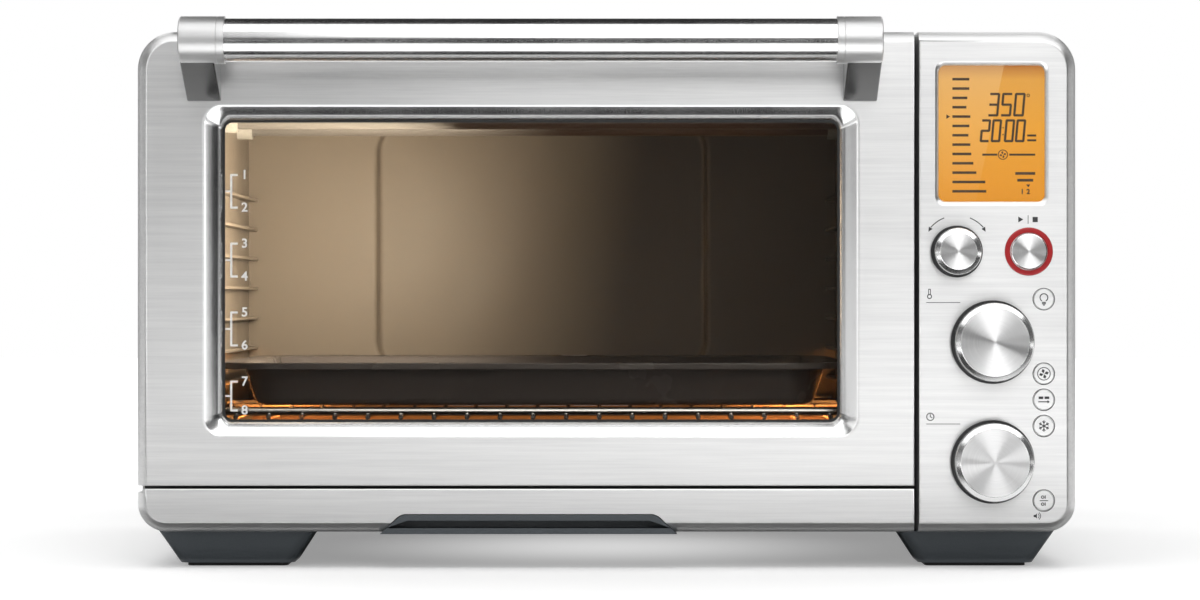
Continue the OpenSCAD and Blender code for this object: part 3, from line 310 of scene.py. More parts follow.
cloud_group, gin, gout, coords = new_group("slow_clouds", [("Scale", FLOAT, 9.0)], ["Value"])
noise = node(cloud_group, "TexNoise", Detail=4.0, Roughness=0.55)
widen = node(cloud_group, "MapRange", From_Min=0.3, From_Max=0.7)
wire(cloud_group, (coords, "Object", noise, "Vector"), (gin, "Scale", noise, "Scale"), (noise, "Fac", widen, "Value"),
     (widen, 0, gout, "Value"))

speck_group, gin, gout, coords = new_group(
    "fine_specks", [("Scale", FLOAT, 900.0), ("Share", FLOAT, 0.3)], ["Mask", "Grain"])
cells = node(speck_group, "TexVoronoi")
grain = node(speck_group, "TexNoise", Detail=2.0)
less = node(speck_group, "Math", operation="LESS_THAN")
wire(speck_group, (coords, "Object", cells, "Vector"), (coords, "Object", grain, "Vector"),
     (gin, "Scale", cells, "Scale"), (gin, "Scale", grain, "Scale"), (cells, "Distance", less, 0),
     (gin, "Share", less, 1), (less, 0, gout, "Mask"), (grain, "Fac", gout, "Grain"))
print("node groups:", [g.name for g in bpy.data.node_groups])

# %% [markdown]
# ## Finishes
# Every finish is one Principled shader. Small helpers wire the groups in: clouds move the roughness, lines or
# specks move the colour and the bump, and everything that is the same all over is typed on the shader itself.

# %% Helpers for a finish
def use_group(tree, group, **values):
    """Places a group in a material with its own values."""
    return node(tree, "Group", node_tree=group, at=values)


def spread(tree, value, low, high, socket):
    """Maps a 0 to 1 value to a range and feeds it to a socket."""
    n = node(tree, "MapRange", To_Min=low, To_Max=high)
    tree.links.new(value, n.inputs["Value"])
    tree.links.new(n.outputs[0], socket)


def tones(tree, value, dark, light, socket):
    """Blends two colours by a 0 to 1 value and feeds a colour socket."""
    n = node(tree, "Mix", data_type="RGBA", at={6: (*dark, 1), 7: (*light, 1)})
    tree.links.new(value, n.inputs[0])
    tree.links.new(n.outputs[2], socket)


def emboss(tree, height, shader, distance):
    """A bump of a real height, in metres."""
    n = node(tree, "Bump", Distance=distance, Strength=1.0)
    tree.links.new(height, n.inputs["Height"])
    tree.links.new(n.outputs["Normal"], shader.inputs["Normal"])


def tangent(tree, shader, **settings):
    """Sets the direction across which a gloss is stretched."""
    wire(tree, (node(tree, "Tangent", **settings), 0, shader, "Tangent"))


print("finish helpers ready")

# %% [markdown]
# ### Brushed, polished and turned steel
# The case is drawn along its length, so its gloss is stretched across the lines. The radial tangent about X points
# up the front, and the one about Y runs round the wrapped top and sides. The handle and the slopes round the window
# are polished, with faint clouds. The dials are turned: their rings follow the UV map that the lathe gives each piece.

# %% Steels
def brushed(name, stretch, axis, base=0.83, rough=0.33, stretch_gloss=0.55):
    """Drawn steel with its lines along one direction."""
    m, t, p = finish(name, (base, base, base * 0.99), rough, 1.0, Anisotropic=stretch_gloss)
    lines = use_group(t, lines_group, Stretch=stretch)
    clouds = use_group(t, cloud_group, Scale=7.0)
    tones(t, lines.outputs["Shade"], (base * 0.93,) * 3, (base * 1.04, base * 1.04, base * 1.035),
          p.inputs["Base Color"])
    spread(t, clouds.outputs["Value"], rough - 0.03, rough + 0.03, p.inputs["Roughness"])
    emboss(t, lines.outputs["Height"], p, 0.000003)
    tangent(t, p, direction_type="RADIAL", axis=axis)
    return m


def polished(name, base, rough):
    """Polished steel with faint clouds in its gloss."""
    m, t, p = finish(name, (base,) * 3, rough, 1.0)
    clouds = use_group(t, cloud_group, Scale=24.0)
    lines = use_group(t, lines_group, Stretch=(30, 1500, 1500))
    spread(t, clouds.outputs["Value"], rough - 0.02, rough + 0.03, p.inputs["Roughness"])
    tones(t, lines.outputs["Shade"], (base * 0.94,) * 3, (base,) * 3, p.inputs["Base Color"])
    return m


def spun(name, base, rough):
    """Turned steel: rings about the axis of a lathed piece, read from its UV map (distance from the axis, angle)."""
    m, t, p = finish(name, (base,) * 3, rough, 1.0, Anisotropic=1.0)
    uv = node(t, "UVMap", uv_map="turned")
    scale = node(t, "VectorMath", operation="MULTIPLY", at={1: (5200.0, 3.0, 1.0)})
    rings = node(t, "TexNoise", Scale=1.0, Detail=2.0)
    wire(t, (uv, 0, scale, 0), (scale, 0, rings, "Vector"))
    tones(t, rings.outputs["Fac"], (base * 0.8,) * 3, (base * 1.1,) * 3, p.inputs["Base Color"])
    spread(t, rings.outputs["Fac"], rough - 0.04, rough + 0.05, p.inputs["Roughness"])
    tangent(t, p, direction_type="UV_MAP", uv_map="turned")
    return m


front_steel = brushed("front_steel", (22, 900, 900), "X")
wrap_steel = brushed("wrap_steel", (900, 22, 900), "Y", base=0.7, rough=0.62, stretch_gloss=0.4)
handle_steel = polished("handle_steel", 0.86, 0.19)
slope_steel = polished("slope_steel", 0.84, 0.19)
# The arms are the collars' cast steel; their very dark base is painted shade for faces that look down and forward.
shaded_arm_steel = polished("shaded_arm_steel", 0.22, 0.24)
satin_steel = polished("satin_steel", 0.66, 0.40)
wire_chrome = polished("wire_chrome", 0.82, 0.16)
spun_steel = spun("spun_steel", 0.82, 0.31)
print("steels:", [m.name for m in bpy.data.materials if "steel" in m.name or "chrome" in m.name])

# %% [markdown]
# ### Painted sheet, enamel, plastic and rubber
# These are plain dielectrics whose life is in small things: specks in the enamel, a moulded grain on the feet and
# the tray's grip, and gloss that wanders a little from place to place. The crumb tray is bare drawn sheet.

# %% Paints and plastics
def coated(name, dark, light, rough, speck_scale, share, bump=0.0, **plain):
    """A paint or plastic with specks, clouds and a grain."""
    m, t, p = finish(name, light, rough, **plain)
    specks = use_group(t, speck_group, Scale=speck_scale, Share=share)
    clouds = use_group(t, cloud_group, Scale=12.0)
    tones(t, specks.outputs["Mask"], light, dark, p.inputs["Base Color"])
    spread(t, clouds.outputs["Value"], rough - 0.06, rough + 0.06, p.inputs["Roughness"])
    if bump:
        emboss(t, specks.outputs["Grain"], p, bump)
    return m


dark_sheet = coated("dark_sheet", (0.020, 0.020, 0.022), (0.035, 0.035, 0.038), 0.5, 1400, 0.25, 0.00001)
door_paint = coated("door_paint", (0.012, 0.012, 0.013), (0.022, 0.022, 0.024), 0.42, 1400, 0.25, 0.00001)
cavity_paint = coated("cavity_paint", (0.13, 0.105, 0.082), (0.17, 0.14, 0.11), 0.38, 1100, 0.22, 0.000012)
pan_enamel = coated("pan_enamel", (0.150, 0.132, 0.124), (0.105, 0.091, 0.086), 0.24, 1500, 0.12,
                    Specular_IOR_Level=0.45)
slate_plastic = coated("slate_plastic", (0.052, 0.061, 0.068), (0.068, 0.079, 0.088), 0.46, 2200, 0.35, 0.00002)
black_plastic = coated("black_plastic", (0.008, 0.008, 0.008), (0.014, 0.014, 0.015), 0.4, 2200, 0.35, 0.00001)
rubber = coated("rubber", (0.010, 0.010, 0.010), (0.017, 0.017, 0.017), 0.72, 2600, 0.4, 0.00002)
red_gloss = coated("red_gloss", (0.34, 0.004, 0.006), (0.42, 0.005, 0.008), 0.3, 1800, 0.25)
white_ceramic = coated("white_ceramic", (0.23, 0.215, 0.19), (0.30, 0.285, 0.255), 0.6, 1600, 0.3, 0.00001)
board_green = coated("board_green", (0.02, 0.12, 0.05), (0.03, 0.17, 0.07), 0.45, 500, 0.2)
wool = coated("insulation_wool", (0.62, 0.59, 0.50), (0.74, 0.71, 0.62), 0.95, 420, 0.5, 0.0004)
tray_sheet, t, p = finish("tray_sheet", (0.66,) * 3, 0.38, 1.0)
lines = use_group(t, lines_group, Stretch=(700, 40, 700))
tones(t, lines.outputs["Shade"], (0.55, 0.55, 0.55), (0.72, 0.72, 0.71), p.inputs["Base Color"])
emboss(t, lines.outputs["Height"], p, 0.000004)
print("materials so far:", len(bpy.data.materials))

# %% [markdown]
# ### Glass, glowing quartz and print
# Lamps have to light the cavity through two panes, so shadow rays pass the glass by a Light Path switch. The quartz
# glows more in its middle than at its ends, where the wire is cold. The print is an ink film of slightly uneven tone.

# %% Glass and light
GLASS_ROUGH, HEATER_MIDDLE, HOT_HALF, COLD_HALF = 0.01, -0.0435, 0.13, 0.196


def clear(name, tint):
    """Glass that lets lamps through."""
    m, t, p = finish(name, tint, GLASS_ROUGH, Transmission_Weight=1.0, IOR=1.45)
    clouds = use_group(t, cloud_group, Scale=5.0)
    spread(t, clouds.outputs["Value"], 0.0, GLASS_ROUGH * 2, p.inputs["Roughness"])
    through = node(t, "BsdfTransparent", Color=(*tint, 1))
    rays, mix = node(t, "LightPath"), node(t, "MixShader")
    wire(t, (rays, "Is Shadow Ray", mix, 0), (p, 0, mix, 1), (through, 0, mix, 2),
         (mix, 0, t.nodes["Material Output"], "Surface"))
    return m


def glowing(name, base, strength):
    """Quartz tube whose wire glows in the middle and is cold at the ends."""
    m, t, p = finish(name, base, 0.35, Emission_Strength=strength)
    coords, split = node(t, "TexCoord"), node(t, "SeparateXYZ")
    along = node(t, "Math", operation="ADD", at={1: -HEATER_MIDDLE})
    away = node(t, "Math", operation="ABSOLUTE")
    hot = node(t, "MapRange", From_Min=HOT_HALF, From_Max=COLD_HALF, To_Min=1.0, To_Max=0.0)
    wire(t, (coords, "Object", split, 0), (split, "X", along, 0), (along, 0, away, 0), (away, 0, hot, "Value"))
    tones(t, hot.outputs[0], (0.15, 0.03, 0.006), (1.0, 0.34, 0.07), p.inputs["Emission Color"])
    return m


def ink(name, colour):
    """Printed ink with a slightly uneven film."""
    m, t, p = finish(name, colour, 0.5)
    clouds = use_group(t, cloud_group, Scale=300.0)
    tones(t, clouds.outputs["Value"], tuple(c * 0.85 for c in colour), colour, p.inputs["Base Color"])
    return m


door_glass, lens_glass = clear("door_glass", (0.90, 0.89, 0.87)), clear("lens_glass", (0.97, 0.95, 0.90))
quartz_low = glowing("quartz_low", (0.40, 0.26, 0.17), 0.2)
quartz_high = glowing("quartz_high", (0.12, 0.11, 0.10), 0.02)
white_print = ink("white_print", (0.85, 0.85, 0.84))
dark_print = ink("dark_print", (0.035, 0.035, 0.038))
lcd_ink = ink("lcd_ink", (0.055, 0.028, 0.010))
print("materials with glass, light and print:", len(bpy.data.materials))

# %% [markdown]
# ## Modelling helpers
# Pieces are drawn in millimetres and put in place at once, so every object stays at the origin. A piece gets its
# normals weighted by face size, which keeps large faces flat and lets the small ones round the edge.

# %% Making a piece
def baked(data, *modifiers):
    """The plain mesh that some data gives under modifiers, each a kind and its settings."""
    ob = put("baking", data)
    for kind, settings in modifiers:
        mod = ob.modifiers.new(kind.lower(), kind)
        for key, value in settings.items():
            if hasattr(mod, key):
                setattr(mod, key, value)
            else:
                mod[key] = value
    out = bpy.data.meshes.new_from_object(ob.evaluated_get(bpy.context.evaluated_depsgraph_get()))
    ob.modifiers.clear()
    bpy.data.objects.remove(ob)
    return out


@contextmanager
def edit(me):
    """Opens a mesh for editing, and writes it back."""
    bm = bmesh.new()
    bm.from_mesh(me)
    yield bm
    bm.to_mesh(me)
    bm.free()


def raw_mesh(name, verts, faces, recalc=True, second=()):
    """A merged mesh, in metres, from points in millimetres. Faces listed in second take the second material."""
    me = bpy.data.meshes.new(name)
    me.from_pydata([Vector(v) * MM for v in verts], [], [tuple(f) for f in faces])
    for k in second:
        me.polygons[k].material_index = 1
    with edit(me) as bm:
        bmesh.ops.remove_doubles(bm, verts=bm.verts, dist=1e-7)
        if recalc:
            bmesh.ops.recalc_face_normals(bm, faces=bm.faces)
    return me


def joined(name, meshes):
    """One mesh from several, which are used up."""
    out = bpy.data.meshes.new(name)
    with edit(out) as bm:
        for me in meshes:
            bm.from_mesh(me)
            bpy.data.meshes.remove(me)
    return out


def place(name, me, materials, body, stands_for=(), angle=40):
    """Smooths a mesh with respect for its flat faces, and seats it on its body."""
    me.shade_smooth()
    me.set_sharp_from_angle(angle=math.radians(angle))
    done = baked(me, ("WEIGHTED_NORMAL", {"keep_sharp": True}))
    bpy.data.meshes.remove(me)
    done.name = name
    if not done.materials:
        for m in (materials if isinstance(materials, list) else [materials]):
            done.materials.append(m)
    ob = put(name, done)
    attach(ob, body)
    if stands_for:
        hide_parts(*stands_for)
    return ob


print("piece helpers ready")

# %% [markdown]
# ### Outlines and solids
# Most pieces start as an outline in X and Z: arcs and rounded rectangles. A prism stretches one outline to a solid.

# %% Outlines and solids
def arc(cx, cz, r, a0, a1, n=12):
    """Points along an arc, in degrees."""
    angles = [math.radians(a0 + (a1 - a0) * i / n) for i in range(n + 1)]
    return [(cx + r * math.cos(a), cz + r * math.sin(a)) for a in angles]


def rounded(x0, z0, x1, z1, r, n=10):
    """Rounded rectangle, anticlockwise."""
    return (arc(x1 - r, z1 - r, r, 0, 90, n) + arc(x0 + r, z1 - r, r, 90, 180, n)
            + arc(x0 + r, z0 + r, r, 180, 270, n) + arc(x1 - r, z0 + r, r, 270, 360, n))


def frame_round(box, x, z, r, n=10):
    """Rounded rectangle that stands out from a box by x and z."""
    return rounded(box[0] - x, box[1] - z, box[2] + x, box[3] + z, r, n)


def band(a, b):
    """Faces between two rings of as many points."""
    n = len(a)
    return [(a[i], a[(i + 1) % n], b[(i + 1) % n], b[i]) for i in range(n)]


def prism(outline, d0, d1, along="Y"):
    """An outline stretched along Y, or along X."""
    n = len(outline)
    v = [(p, d, q) if along == "Y" else (d, p, q) for d in (d0, d1) for p, q in outline]
    front, back = tuple(range(n)), tuple(range(n, 2 * n))
    return v, [front, back] + band(front, back)


def block(x0, y0, z0, x1, y1, z1):
    """Corners and faces of a box."""
    return prism([(x0, z0), (x1, z0), (x1, z1), (x0, z1)], y0, y1)


print("a block has", len(block(0, 0, 0, 1, 1, 1)[1]), "faces")

# %% [markdown]
# ### Skins, cuts and rounded edges
# A skin joins many outlines at different depths, as a pressed sheet does when it bends. Openings with sheared edges are
# cut by a boolean. Other pieces keep the CAD's shape, and only their sharp edges are rounded.

# %% Skins, cuts and rounded edges
class Skin:
    """Collects rings of points in X and Z at a depth behind the front face, and the faces between them."""

    def __init__(self):
        self.verts, self.faces, self.polished = [], [], []

    def rings(self, loops, polished=()):
        """Adds rings, each a loop and its depth, and joins neighbours. Bands listed in polished are noted."""
        rows = []
        for loop, depth in loops:
            rows.append(range(len(self.verts), len(self.verts) + len(loop)))
            self.verts += [(x, FACE + depth, z) for x, z in loop]
        for k, (a, b) in enumerate(zip(rows, rows[1:])):
            if k in polished:
                self.polished += range(len(self.faces), len(self.faces) + len(a))
            self.faces += band(a, b)
        return rows

    def fill(self, *rows):
        """Closes a ring, with further rings as its holes."""
        flat = [i for row in rows for i in row]
        loops = [[Vector((self.verts[i][0], self.verts[i][2], 0)) for i in row] for row in rows]
        self.faces += [tuple(flat[i] for i in tri) for tri in tessellate_polygon(loops)]


def cut(me, cutters):
    """Cuts closed shapes out of a closed mesh."""
    tools = [put("cutter", raw_mesh("cutter", *shape)) for shape in cutters]
    out = baked(me, *[("BOOLEAN", {"operation": "DIFFERENCE", "solver": "EXACT", "object": o}) for o in tools])
    for o in tools:
        bpy.data.objects.remove(o)
    return out


def round_edges(bm, over, **bevel):
    """Rounds the edges of a mesh that bend by more than an angle."""
    sharp = [e for e in bm.edges if e.is_manifold and e.calc_face_angle(0) > math.radians(over)]
    bmesh.ops.bevel(bm, geom=sharp, affect="EDGES", clamp_overlap=True, **bevel)


def eased(piece, width, material, slot):
    """A copy of a CAD node with its loose triangles merged and its sharp edges rounded."""
    me = frame["nodes"][piece].data.copy()
    me.materials.clear()
    with edit(me) as bm:
        bmesh.ops.remove_doubles(bm, verts=bm.verts, dist=2e-6)
        bmesh.ops.dissolve_limit(bm, angle_limit=math.radians(1), verts=bm.verts, edges=bm.edges)
        round_edges(bm, 30, offset=width * MM, segments=2, profile=0.6)
    body = next(b for b, nodes in frame["record"]["behaviour"]["bodies"].items() if piece in nodes)
    place(piece + "_eased", me, material, body, [piece])


print("skin helpers ready")

# %% [markdown]
# ## Door skin, lower strip and control panel
# All three are pressed from sheet with one rolled edge that runs round the front: a tight bend at the face, a slope,
# then a curve into the side. The ring list below is that bend, as inset and depth. Where two panels meet, the edge is
# only eased by a small radius, which gives the bright line along the gaps.

# %% The rolled edge
ROLL = [(6.4, 0), (6.1, 0.03), (5.75, 0.13), (5.4, 0.32), (5.05, 0.58), (3.5, 1.75), (2.1, 3.0), (1.1, 4.2),
        (0.45, 5.5), (0.1, 6.8), (0, 8.0)]
SINK = [(1.10, 0.0), (1.05, 0.004), (1.0, 0.018), (0.95, 0.04), (0.9, 0.07), (0.8, 0.135), (0.6, 0.27), (0.4, 0.42),
        (0.25, 0.56), (0.12, 0.74), (0.05, 0.88), (0.0, 1.0)]
TURN_R, TOP_R, BASE_R = 0.9, 22.0, 17.0
SHEET, SMOOTH = 1.5, 50
DOOR_R, DOOR_B, STRIP_T, PANEL_L = skin_hi.x, skin_lo.z, strip_hi.z, panel_lo.x


def small_edge(depth):
    """Inset of the small edge radius at a depth."""
    return TURN_R - math.sqrt(TURN_R ** 2 - (TURN_R - depth) ** 2) if depth < TURN_R else 0.0


def rolled_rings(loop, back):
    """The rolled front edge of an outline, from the face to the back."""
    return [(loop(inset, small_edge(depth)), depth) for inset, depth in ROLL] + [(loop(0, 0), back)]


def slope_rings(box, r, sx, sz, depth):
    """A window surround that sinks from the face to its opening, with an eased crease."""
    return [(frame_round(box, sx * f, sz * f, r + sx * f / 2), depth * d) for f, d in SINK]


print("rolled edge of", ROLL[0][0], "by", ROLL[-1][1], "mm")

# %% [markdown]
# ### Door skin
# The skin is a closed sheet: rolled outer edge, folded rim behind it, and the slope down to the glass, which is
# polished where the face is brushed. Two slots at the bottom let the hinge arms in; a boolean cuts them, because they
# have sharp sheared edges that need no bend.

# %% Door skin
SLOPE_X, SLOPE_Z, WINDOW_DEEP, WINDOW_R = 10.5, 8.4, 8.0, 5.5
FOLD_DEPTH, RIM_INSET, RIM_DEPTH, FIRST_POLISHED = 8.5, 8.0, 1.7, 3
BEHIND_SLOPE, SLOT_HALF, SLOT_HIGH, ARM_MIDDLE = 3.0, 2.1, 11.5, 7.6


def door_loop(inset, small):
    return ([(LEFT + inset, DOOR_B + small), (DOOR_R - small, DOOR_B + small), (DOOR_R - small, TOP - inset)]
            + arc(LEFT + TOP_R, TOP - TOP_R, TOP_R - inset, 90, 180, 16))


door_back = skin_hi.y - FACE
skin = Skin()
outer = skin.rings(rolled_rings(door_loop, door_back) + [
    (door_loop(SHEET, SHEET), door_back), (door_loop(SHEET, SHEET), FOLD_DEPTH),
    (door_loop(RIM_INSET, SHEET), RIM_DEPTH)])
surround = slope_rings(WIN, WINDOW_R, SLOPE_X, SLOPE_Z, WINDOW_DEEP)
inner = skin.rings(surround + [
    (frame_round(WIN, SHEET, SHEET, WINDOW_R + SHEET), WINDOW_DEEP),
    (frame_round(WIN, SLOPE_X + BEHIND_SLOPE, SLOPE_Z + BEHIND_SLOPE, WINDOW_R + 7), RIM_DEPTH)],
    range(FIRST_POLISHED, len(surround)))
skin.fill(outer[0], inner[0])
skin.fill(outer[-1], inner[-1])
arms_lo, arms_hi = span("hinge_brackets")
slots = [block(x - SLOT_HALF, FACE + 2.5, DOOR_B - 3, x + SLOT_HALF, skin_hi.y + 3, DOOR_B + SLOT_HIGH)
         for x in (arms_lo.x + ARM_MIDDLE, arms_hi.x - ARM_MIDDLE)]
shell = raw_mesh("door_face", skin.verts, skin.faces, second=skin.polished)
for steel in (front_steel, slope_steel):
    shell.materials.append(steel)
door_skin = place("door_face", cut(shell, slots), front_steel, "door", ["door_skin"], SMOOTH)
print("door skin:", len(door_skin.data.polygons), "faces")

# %% [markdown]
# ### Lower strip
# A solid bar behind the same rolled edge. The crumb tray's grip comes through it, so the grip's outline, a little
# larger, is cut out, and a rebate behind the top edge leaves room for the door.

# %% Lower strip
REBATE, PAST, GRIP_R, GRIP_TOP_HALF, GRIP_GAP = 2.4, 2, 8.0, 73.9, 0.5
grip_lo, grip_hi = span("tray_grip")


def strip_loop(inset, small):
    return (arc(LEFT + BASE_R, BOTTOM + BASE_R, BASE_R - inset, 180, 270, 16)
            + [(DOOR_R - small, BOTTOM + inset), (DOOR_R - small, STRIP_T - small), (LEFT + inset, STRIP_T - small)])


def grip_outline(gap):
    """The tray grip's outline: sloped ends with rounded upper corners."""
    low, high, r = grip_lo.z - gap, grip_hi.z + gap, GRIP_R + gap
    mid, top_half = (grip_lo.x + grip_hi.x) / 2, GRIP_TOP_HALF + gap
    bottom_half = (grip_hi.x - grip_lo.x) / 2 + gap
    lean = math.degrees(math.atan2(high - low, bottom_half - top_half))
    t = r * math.tan(math.radians(lean / 2))
    return ([(mid - bottom_half, low), (mid + bottom_half, low)]
            + arc(mid + top_half - t, high - r, r, 90 - lean, 90, 10)
            + arc(mid - top_half + t, high - r, r, 90, 90 + lean, 10))


skin = Skin()
rows = skin.rings(rolled_rings(strip_loop, strip_hi.y - FACE))
skin.fill(rows[0])
skin.fill(rows[-1])
cutters = [block(LEFT - PAST, FACE + SHEET, STRIP_T - REBATE, DOOR_R + PAST, strip_hi.y + PAST, STRIP_T + PAST),
           prism(grip_outline(GRIP_GAP), FACE - PAST, strip_hi.y + PAST)]
strip = place("strip_face", cut(raw_mesh("strip_face", skin.verts, skin.faces), cutters), front_steel, "chassis",
              ["lower_strip"], SMOOTH)
print("lower strip:", len(strip.data.polygons), "faces")

# %% [markdown]
# ### Control panel
# The panel is seen only from the front, so it is an open skin: the rolled edge, a short slope round the display and
# five holes with turned-in rims for the push buttons. Cutting the holes with a boolean would leave rough rims; as rings
# they are clean circles.

# %% Control panel
LENS_LAP, DISPLAY_R, DISPLAY_SLOPE, DISPLAY_DEEP = 2.5, 4.0, 2.3, 2.2
HOLE = [(6.25, 0), (6.1, 0.12), (6.1, 1.5)]
button_spots = {key: middle(key + "_button") for key in ("light", "fan", "phase", "frozen", "unit")}
lens_lo, lens_hi = span("display_lens")
DISPLAY = (lens_lo.x + LENS_LAP, lens_lo.z + LENS_LAP, lens_hi.x - LENS_LAP, lens_hi.z - LENS_LAP)


def panel_loop(inset, small):
    return ([(PANEL_L + small, BOTTOM + inset)]
            + arc(RIGHT - BASE_R, BOTTOM + BASE_R, BASE_R - inset, 270, 360, 16)
            + arc(RIGHT - TOP_R, TOP - TOP_R, TOP_R - inset, 0, 90, 16) + [(PANEL_L + small, TOP - inset)])


def circle(x, z, r, n=40):
    return arc(x, z, r, 0, 360, n)[:-1]


skin = Skin()
rows = skin.rings(rolled_rings(panel_loop, panel_hi.y - FACE))
display_rows = skin.rings(slope_rings(DISPLAY, DISPLAY_R, DISPLAY_SLOPE, DISPLAY_SLOPE, DISPLAY_DEEP))
holes = [skin.rings([(circle(*spot, r), depth) for r, depth in HOLE]) for spot in button_spots.values()]
skin.fill(rows[0], display_rows[0], *[h[0] for h in holes])
panel = place("panel_face", raw_mesh("panel_face", skin.verts, skin.faces, recalc=False), front_steel, "chassis",
              ["control_panel"], SMOOTH)
print("control panel:", len(panel.data.polygons), "faces, display", [round(v, 1) for v in DISPLAY])

# %% [markdown]
# ## Handle
# A polished tube sits in two cast brackets. Each bracket is a collar round the tube that runs back into an arm: the arm
# is the outline of a circle pulled to the door, with its edges rounded, and the collar is turned, with a fine groove.

# %% Lathe helper
def lathe(name, profile, centre, axis, parts, body, stands_for, angle=35, n=96):
    """Turns a profile of (radius, distance along the axis, part) about X or -Y. UV: distance from the axis, angle."""
    cx, cy, cz = centre
    verts, faces, marks, uvs = [], [], [], []
    k = len(profile)
    for i in range(n):
        c, s = math.cos(2 * math.pi * i / n), math.sin(2 * math.pi * i / n)
        verts += [(cx + d, cy + r * c, cz + r * s) if axis == "X" else (cx + r * c, cy - d, cz + r * s)
                  for r, d, *_ in profile]
        here, ahead = i * k, (i + 1) % n * k
        for m, (a, b) in enumerate(zip(profile, profile[1:])):
            faces.append((here + m, ahead + m, ahead + m + 1, here + m + 1))
            marks.append(b[2] if len(b) > 2 else 0)
            uvs += [(a[0] * MM, i / n), (a[0] * MM, (i + 1) / n), (b[0] * MM, (i + 1) / n), (b[0] * MM, i / n)]
    me = bpy.data.meshes.new(name)
    me.from_pydata([Vector(v) * MM for v in verts], [], faces)
    for corner, uv in zip(me.uv_layers.new(name="turned").data, uvs):
        corner.uv = uv
    for poly, mark in zip(me.polygons, marks):
        poly.material_index = mark
    with edit(me) as bm:
        bmesh.ops.remove_doubles(bm, verts=bm.verts, dist=1e-8)
        bmesh.ops.dissolve_degenerate(bm, dist=1e-9, edges=bm.edges)
        bmesh.ops.recalc_face_normals(bm, faces=bm.faces)
    for m in parts:
        me.materials.append(m)
    place(name, me, parts, body, stands_for, angle)


print("lathe ready")

# %% Tube and brackets
TUBE_WALL, TUBE_END, ARM_WIDE, ARM_EASE, FOOT_DROP, GROOVE = 1.5, 2, 20.0, 0.3, 4.0, 4.0
tube_lo, tube_hi = span("handle_tube")
axis_y, axis_z, tube_r = (tube_lo.y + tube_hi.y) / 2, (tube_lo.z + tube_hi.z) / 2, (tube_hi.z - tube_lo.z) / 2
tube_long, bore = tube_hi.x - tube_lo.x - 2 * TUBE_END, tube_r - TUBE_WALL
lathe("handle_bar", [(bore, 0), (tube_r, 0), (tube_r, tube_long), (bore, tube_long), (bore, 0)],
      (tube_lo.x + TUBE_END, axis_y, axis_z), "X", [handle_steel], "door", ["handle_tube"])


def bracket(side):
    """Arm and collar at one end of the handle."""
    lo, hi = span("handle_bracket_" + side)
    r, width, back = hi.z - axis_z, hi.x - lo.x, FACE - 0.02
    points = circle(axis_y, axis_z, r - 0.4, 72) + [(back, axis_z - FOOT_DROP), (back, lo.z), (back - 1, lo.z)]
    outline = [points[i] for i in convex_hull_2d(points)]
    ends = (lo.x + ARM_EASE, lo.x + ARM_WIDE) if side == "left" else (hi.x - ARM_WIDE, hi.x - ARM_EASE)
    me = raw_mesh("arm", *prism(outline, *ends, "X"))
    with edit(me) as bm:
        round_edges(bm, 50, offset=1.1 * MM, segments=4, profile=0.5)
    place("handle_arm_" + side, me, shaded_arm_steel, "door", ["handle_bracket_" + side], 35)
    x0, flip = (hi.x, -1) if side == "left" else (lo.x, 1)
    profile = [(tube_r + 0.05, 0.0), (r - 0.5, 0.0), (r - 0.12, 0.15), (r, 0.5), (r, GROOVE), (r - 0.3, GROOVE + 0.15),
               (r - 0.3, GROOVE + 0.35), (r, GROOVE + 0.5), (r, width - 1.2), (r - 0.35, width - 0.4), (r - 1.2, width),
               (0.01, width)]
    lathe("handle_collar_" + side, [(a, flip * b) for a, b in profile], (x0, axis_y, axis_z), "X", [satin_steel],
          "door", [])


for side in ("left", "right"):
    bracket(side)
print("handle: tube radius", round(tube_r, 2), "mm")

# %% [markdown]
# ## Dials, start button and push buttons
# Turned pieces, so each is a profile spun about its axis. The dial's face is cut in fine rings, which throw the bright
# and dark fans of light; the bevel round it is polished, and the skirt behind it is black.

# %% Dials and buttons
KEY_OUT = 0.7


def turned(piece, profile, parts, body, n=96, about=None):
    """A turned piece of the panel in the place of a CAD node, about its own middle or another node's."""
    x, z = middle(about or piece)
    lathe(piece + "_turned", profile, (x, FACE, z), "Y", parts, body, [piece], 30, n)


def dial(piece, body, r, out):
    """Shaft and skirt in black, a polished bevel, and a face of fine rings."""
    skirt, face = r + 1.5, out - 0.12
    turned(piece, [
        (3.0, -3, 1), (3.0, 1.8, 1), (skirt - 0.5, 1.8, 1), (skirt, 2.2, 1), (skirt, 3.8, 1), (skirt - 0.4, 4.25, 1),
        (r - 0.02, 4.3, 1), (r, 4.4, 0), (r, out - 2.4, 2), (r - 0.12, out - 2.1, 2), (r - 0.45, out - 1.75, 2),
        (r - 2.55, out - 0.25, 2), (r - 2.8, out - 0.06, 2), (r - 3.05, out - 0.02, 2), (r - 3.3, out - 0.1, 0),
        (r - 3.6, face, 0), (r * 0.5, face, 0), (0.3, face, 0), (0.0, face, 0)],
        [spun_steel, black_plastic, handle_steel], body, n=128)


